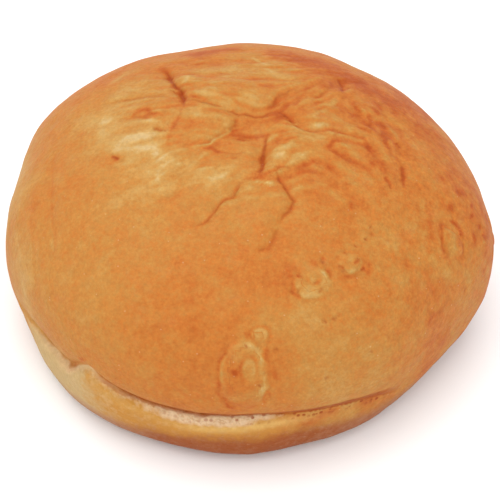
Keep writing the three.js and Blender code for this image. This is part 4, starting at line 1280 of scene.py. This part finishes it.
    def _draw_out_crown(self) -> None:
        """Lays the thin overlapping flaps and streaks of drawn-out dough over the crown."""
        crown = self._crown()
        broad = self._streaks(*self.broad_streaks)
        narrow = self._streaks(*self.narrow_streaks)
        chance = np.random.default_rng(self.flap_seed)
        relief = np.zeros(len(self.places))
        tone = np.zeros(len(self.places))
        for _ in range(self.flap_count):
            line = self._grow_flap(chance)
            higher = chance.choice((Side.RIGHT.value, Side.LEFT.value))
            width = chance.uniform(*self.flap_width) * MM
            rise = chance.uniform(*self.flap_rise) * MM
            distance, side, along = distance_to_line(self.places, line, self.flap_reach)
            taper = fade_ends(along, *self.flap_taper)
            over = distance * side * higher
            high = ease(over, *self.flap_edge) * np.exp(-np.maximum(over, 0.0) / width)
            relief += taper * high * rise
            # A painted highlight beside each flap's raised edge and painted shade at its foot.
            light = bell(over - self.flap_highlight[0], self.flap_highlight[1])
            shade = bell(over - self.flap_shade[0], self.flap_shade[1])
            tone += taper * ((light - shade) * self.flap_contrast + high * chance.uniform(*self.flap_tone))
        relief += (broad * self.streak_rise[0] + narrow * self.streak_rise[1]) * MM
        self._press("flaps", relief * crown)
        self.tone = crown * (tone + broad * self.streak_tone[0] + narrow * self.streak_tone[1])

    def _grow_flap(self, chance: np.random.Generator) -> np.ndarray:
        """Grows the edge of one flap along the flow of the dough.

        Args:
            chance: Where the random numbers come from.

        Returns:
            Closely spaced points of the edge, on the crust.
        """
        reach = math.sqrt(chance.uniform(0.0, 1.0)) * self.flap_spread
        heading = chance.uniform(0.0, 2.0 * math.pi)
        x = self.crown_middle[0] + self.crown_reach[0] * reach * math.cos(heading)
        y = self.crown_middle[1] + self.crown_reach[1] * reach * math.sin(heading)
        spot = np.array([[x, y, 0.0]])
        length = chance.uniform(*self.flap_length) * MM
        bend = chance.uniform(*self.flap_bend)
        step = self.flap_step
        way = self._flow(spot)[0]
        points = []
        turned = 0.0
        for _ in range(max(3, round(length / step))):
            points.append(self._lift((spot[0, 0], spot[0, 1])))
            ahead = self._flow(spot)[0]
            way = ahead if ahead @ way > 0.0 else -ahead
            turned += bend + chance.uniform(*self.flap_wander)
            cosine, sine = math.cos(turned), math.sin(turned)
            spot[0, 0] += step * (way[0] * cosine - way[1] * sine)
            spot[0, 1] += step * (way[0] * sine + way[1] * cosine)
        return np.array(points)

    def _lift(self, place: Place) -> Vector:
        """Returns a place on the crust: the nearest to a point, or straight above a place on the plan."""
        if len(place) == 3:
            return Vector(self.piece.closest_point_on_mesh(Vector(place))[1])
        return self.piece.ray_cast(Vector((*place, OVERHEAD)), Vector((0.0, 0.0, -1.0)))[1]

    def _trace(self, route: Sequence[Place], wobble: float) -> np.ndarray:
        """Returns a route on the crust as closely spaced points with a natural wobble."""
        points = []
        for start, end in zip(route[:-1], route[1:]):
            a, b = np.array(start), np.array(end)
            steps = max(2, round(float(np.linalg.norm(b - a)) / self.route_step))
            points += [a + (b - a) * step / steps for step in range(steps)]
        points.append(np.array(route[-1]))
        path = np.array(points)
        wide = np.column_stack((path, np.zeros((len(path), 3 - path.shape[1]))))
        moved = self.lumps.drift(wide, self.route_drift, wobble)[:, : path.shape[1]]
        return np.array([self._lift(tuple(point)) for point in moved])

    def _carve_folds(self) -> None:
        """Presses the creases into the crust and marks how near each point is to one."""
        count = len(self.places)
        relief = np.zeros(count)
        nearest = np.full(count, FAR)
        rival = np.full(count, FAR)
        strength = np.zeros(count)
        for fold in FOLDS:
            line = self._trace(fold.route, self.fold_wobble)
            distance, side, along = distance_to_line(self.places, line, self.line_reach)
            taper = fade_ends(along, *self.fold_taper)
            raised = side * fold.higher.value > 0.0
            relief = np.minimum(relief, -fold.depth * taper * bell(distance, self.groove_reach))
            welt = raised * taper * bell(distance - self.welt_offset, self.welt_width)
            welt = welt * fold.strength * self.welt_rise
            relief = np.where(relief > -self.groove_floor, relief + welt, relief)
            signed = side * distance / MM
            closer = np.abs(signed) < np.abs(nearest)
            second = np.where(closer, nearest, signed)
            rival = np.where(np.abs(second) < np.abs(rival), second, rival)
            nearest = np.where(closer, signed, nearest)
            fade = ease(distance, *self.fold_fade)
            strength = np.where(closer, taper * fade * fold.strength, strength)
        between = (nearest * rival < 0.0) * ease(np.abs(rival) - np.abs(nearest), *self.rival_gap)
        strength *= 1.0 - between * ease(np.abs(nearest), *self.rival_near)
        self._press("folds", relief)
        # The finish paints shade along the creases from these marks.
        self._mark("fold_distance", nearest)
        self._mark("fold_strength", strength)

    def _raise_blisters(self) -> None:
        """Lifts the blisters, marks the fine ring round each and pricks the pores."""
        count = len(self.places)
        nearest = np.full(count, FAR)
        strength = np.zeros(count)
        relief = np.zeros(count)
        pricked = np.zeros(count)
        for bump in BLISTERS:
            centre = self._lift(bump.at)
            level, downhill = slope_axes(centre)
            offset = self.places - np.array(centre)
            across = offset @ np.array(level) / bump.across
            along = offset @ np.array(downhill) / bump.along
            near = np.linalg.norm(offset, axis=1) < self.blister_reach * max(bump.across, bump.along)
            ragged = np.hypot(across, along) + self.lumps.swell(self.places, *self.blister_ragged)
            ring = (ragged - 1.0) * min(bump.across, bump.along) / MM
            broken = ease(self.lumps.at(self.places, self.ring_gaps), *self.ring_break)
            closer = near & (np.abs(ring) < np.abs(nearest))
            nearest = np.where(closer, ring, nearest)
            strength = np.where(closer, bump.ring * broken, strength)
            relief += near * ease(ragged, *self.blister_side) * bump.rise
            relief -= near * bell(ring, self.ring_width) * self.ring_depth * bump.ring
        for pit in PITS:
            gap = np.linalg.norm(self.places - np.array(self._lift(pit.at)), axis=1)
            mark = bell(gap, pit.radius)
            relief -= mark * pit.depth
            pricked = np.maximum(pricked, mark)
        self._press("blisters", relief)
        # The finish paints shade along the rings, a highlight just inside them and shade in the pores.
        self._mark("ring_distance", nearest)
        self._mark("ring_strength", strength)
        self._mark("pit", pricked)

    def _shape_wall(self) -> None:
        """Roughens the crumb in the tear and marks the parts of the wall."""
        azimuths = self._azimuths()
        height = self.places[:, 2] / MM + self.lumps.swell(self.places, *self.lip_ragged)
        below = around(LIP_HEIGHT, azimuths) - height
        torn = around(TORN, azimuths)
        depth = np.maximum(around(CRUMB_DEPTH, azimuths), self.least_crumb)
        crumb = torn * around(CRUMB_AMOUNT, azimuths) * ease(below / depth, *self.crumb_foot)
        crumb *= ease(below, *self.crumb_top)
        lumps = sum(self.lumps.swell(self.places, size, 1.0) for size in self.crumb_lumps)
        foot = ease(height / around(FOOT_TOP, azimuths), *self.foot_fade)
        rim_highlight = bell(below - around(RIM_DROP, azimuths), self.rim_width)
        self._press("crumb", crumb * lumps * self.crumb_rise)
        # Among these marks are the milky band's painted light, the rim's painted highlight and the painted
        # shade of the seam and its holes.
        marks = {
            "torn": ease(torn, 0.0, 1.0),
            "drop": below,
            "pale_lip": around(PALE_LIP, azimuths),
            "rim_highlight": around(RIM_HIGHLIGHT, azimuths) * rim_highlight,
            "lip_light": around(LIP_LIGHT, azimuths) * bell(below - self.milk_drop, self.milk_width),
            "seam": around(SEAM_SHADE, azimuths),
            "crumb": crumb,
            "wall_cream": around(WALL_CREAM, azimuths),
            "wall_crust": around(WALL_CRUST, azimuths),
            "foot": foot * around(FOOT_AMOUNT, azimuths),
            "dusty": around(FOOT_DUST, azimuths),
            "hole_distance": self.hole_drop - below,
            "hole_strength": around(HOLES, azimuths),
        }
        for name, values in marks.items():
            self._mark(name, values)

    def _mark_bake_and_shade(self) -> None:
        """Marks where the crust is paler or browner, where shade or highlights are painted, and where it is
        dusted with flour.
        """
        tone = self.tone.copy()
        moved = self.places
        for size, reach in self.stroke_drifts:
            moved = self.lumps.drift(moved, size, reach)
        for area in PATCHES:
            tone += area.tone * bell(oval(moved, area), 1.0)
        for stroke in SMEARS:
            line = self._trace(stroke.route, self.stroke_wobble)
            distance, _, along = distance_to_line(moved, line, self.line_reach)
            taper = fade_ends(along, *self.stroke_taper)
            strength = self.pale_strength if stroke.tone > 0.0 else self.brown_strength
            tone += stroke.tone * taper * bell(distance, stroke.width) * strength
        front = ease(self.places[:, 1], *self.front_fade)
        right = ease(self.places[:, 0], *self.right_fade)
        self._mark("bake_and_shade", self.bake_and_shade - tone * self.tone_share)
        self._mark("mottle", self.mottle[0] + self.mottle[1] * right)
        everywhere, in_front, at_right = self.flour
        self._mark("flour", np.clip(everywhere + in_front * front + at_right * right, 0.0, 1.0))

    def _mark(self, name: str, values: np.ndarray) -> None:
        """Stores one number for each point, for the finish to read."""
        mark = self.piece.data.attributes.new(name, "FLOAT", "POINT")
        mark.data.foreach_set("value", values.astype(np.float32))

    def _fit_inside(self, box: tuple[Vector, Vector]) -> None:
        """Shrinks the crust, if it has to, so that it stays inside a box."""
        low, high = Vector(self.places.min(0)), Vector(self.places.max(0))
        scale = [min(1.0, (box[1][i] - box[0][i]) / (high[i] - low[i])) for i in range(3)]
        shift = [(box[0][i] + box[1][i]) / 2 - scale[i] * (low[i] + high[i]) / 2 for i in range(2)]
        shift.append(box[0][2] - scale[2] * low[2])
        self.piece.data.transform(Matrix.Translation(shift) @ Matrix.Diagonal((*scale, 1.0)))
        log.info("fitted inside the packed box: scale %s", [round(s, 4) for s in scale])


def only(piece: bpy.types.Object) -> None:
    """Selects one object alone and makes it active."""
    bpy.ops.object.select_all(action="DESELECT")
    piece.select_set(True)
    bpy.context.view_layer.objects.active = piece


def apply(piece: bpy.types.Object, modifier: bpy.types.Modifier) -> None:
    """Applies one modifier of a piece."""
    only(piece)
    bpy.ops.object.modifier_apply(modifier=modifier.name)


def distance_to_line(
    places: np.ndarray, line: np.ndarray, reach: float
) -> tuple[np.ndarray, np.ndarray, np.ndarray]:
    """Measures how far points lie from a line on the crust.

    Args:
        places: The points.
        line: Closely spaced points of the line.
        reach: The furthest distance that matters.

    Returns:
        For each point, the distance, the side (1 left of the line, -1 right) and the share of the way along.
    """
    distance = np.full(len(places), FAR)
    side = np.ones(len(places))
    along = np.zeros(len(places))
    low, high = line.min(0) - reach, line.max(0) + reach
    near = np.flatnonzero(np.all((places > low) & (places < high), axis=1))
    block = places[near]
    for i in range(len(line) - 1):
        start, run = line[i], line[i + 1] - line[i]
        share = np.clip(((block - start) @ run) / max(float(run @ run), 1e-12), 0.0, 1.0)
        gap = np.linalg.norm(block - start - share[:, None] * run, axis=1)
        turn = run[0] * (block[:, 1] - start[1]) - run[1] * (block[:, 0] - start[0])
        closer = gap < distance[near]
        chosen = near[closer]
        distance[chosen] = gap[closer]
        side[chosen] = np.where(turn[closer] < 0.0, -1.0, 1.0)
        along[chosen] = (i + share[closer]) / (len(line) - 1)
    return distance, side, along


def slope_axes(centre: Vector) -> tuple[Vector, Vector]:
    """Returns the level and the downhill direction on the crust at a place."""
    outward = Vector((centre.x, centre.y, (centre.z - DOME_MIDDLE) * DOME_FLATNESS)).normalized()
    level = Vector((-centre.y, centre.x, 0.0)).normalized()
    return level, outward.cross(level)


def oval(places: np.ndarray, area: Patch) -> np.ndarray:
    """Returns how far points lie from a patch's middle on the plan, 1 at its edge."""
    cosine, sine = math.cos(math.radians(area.turn)), math.sin(math.radians(area.turn))
    x = places[:, 0] - area.at[0]
    y = places[:, 1] - area.at[1]
    return np.hypot((x * cosine + y * sine) / area.across, (y * cosine - x * sine) / area.along)


# ---------------------------------------------------------------- stage


@dataclass(frozen=True)
class Lamp:
    """A square soft light, with its place, its size in metres and its power in watts."""

    name: str
    place: Place
    size: float
    power: float


@dataclass
class Stage:
    """The floor, the soft lights and the camera, which looks down from an elevation in degrees."""

    floor_size: float = 6.0
    elevation: float = 46.0
    distance: float = 0.600
    lens: float = 195.2
    sensor: float = 36.0
    nearest: float = 0.01
    aim: Place = (0.00028, -0.0019, 0.0202)
    lit_place: Place = (0.0, 0.0, 0.02)
    lamps: tuple[Lamp, ...] = (
        Lamp("overhead", (-0.22, 0.05, 1.1), 1.4, 8.5),
        Lamp("front", (0.2, -1.2, 0.8), 1.2, 3.2),
    )
    sky: float = 1.06
    sky_colour: Colour = (1.0, 1.0, 1.0, 1.0)

    def build(self) -> None:
        """Builds the floor, the light and the camera."""
        bpy.ops.mesh.primitive_plane_add(size=self.floor_size, location=(0.0, 0.0, 0.0))
        floor = bpy.context.object
        floor.name = "floor"
        floor.data.materials.append(FloorFinish().build())
        for lamp in self.lamps:
            self._light(lamp)
        self._sky()
        self._camera()

    def _light(self, lamp: Lamp) -> None:
        """Adds one lamp, which faces the roll."""
        bpy.ops.object.light_add(type="AREA", location=lamp.place)
        light = bpy.context.object
        light.name = lamp.name
        light.data.shape = "SQUARE"
        light.data.size = lamp.size
        light.data.energy = lamp.power
        aim = Vector(self.lit_place) - Vector(lamp.place)
        light.rotation_euler = aim.to_track_quat("-Z", "Y").to_euler()

    def _sky(self) -> None:
        """Lights everything evenly from all round."""
        world = bpy.data.worlds.new("soft_room")
        world.use_nodes = True
        background = world.node_tree.nodes["Background"]
        background.inputs["Color"].default_value = self.sky_colour
        background.inputs["Strength"].default_value = self.sky
        bpy.context.scene.world = world
        bpy.context.scene.view_settings.view_transform = "Standard"

    def _camera(self) -> None:
        """Adds the camera, looking down on the roll from the front."""
        tilt = math.radians(self.elevation)
        back = Vector((0.0, -math.cos(tilt), math.sin(tilt)))
        bpy.ops.object.camera_add(location=Vector(self.aim) + back * self.distance)
        camera = bpy.context.object
        camera.rotation_euler = (-back).to_track_quat("-Z", "Y").to_euler()
        camera.data.sensor_width = self.sensor
        camera.data.lens = self.lens
        camera.data.clip_start = self.nearest
        bpy.context.scene.camera = camera


def main() -> None:
    """Builds the stage and the roll, in order."""
    logging.basicConfig(level=logging.INFO, format="%(name)s: %(message)s")
    bpy.ops.object.select_all(action="DESELECT")
    Stage().build()
    log.info("stage set")
    crust = Roll().build()
    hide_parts(NODE)
    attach(crust, "root")
    log.info("crust dressed: %d faces", len(crust.data.polygons))


if __name__ == "__main__":
    main()
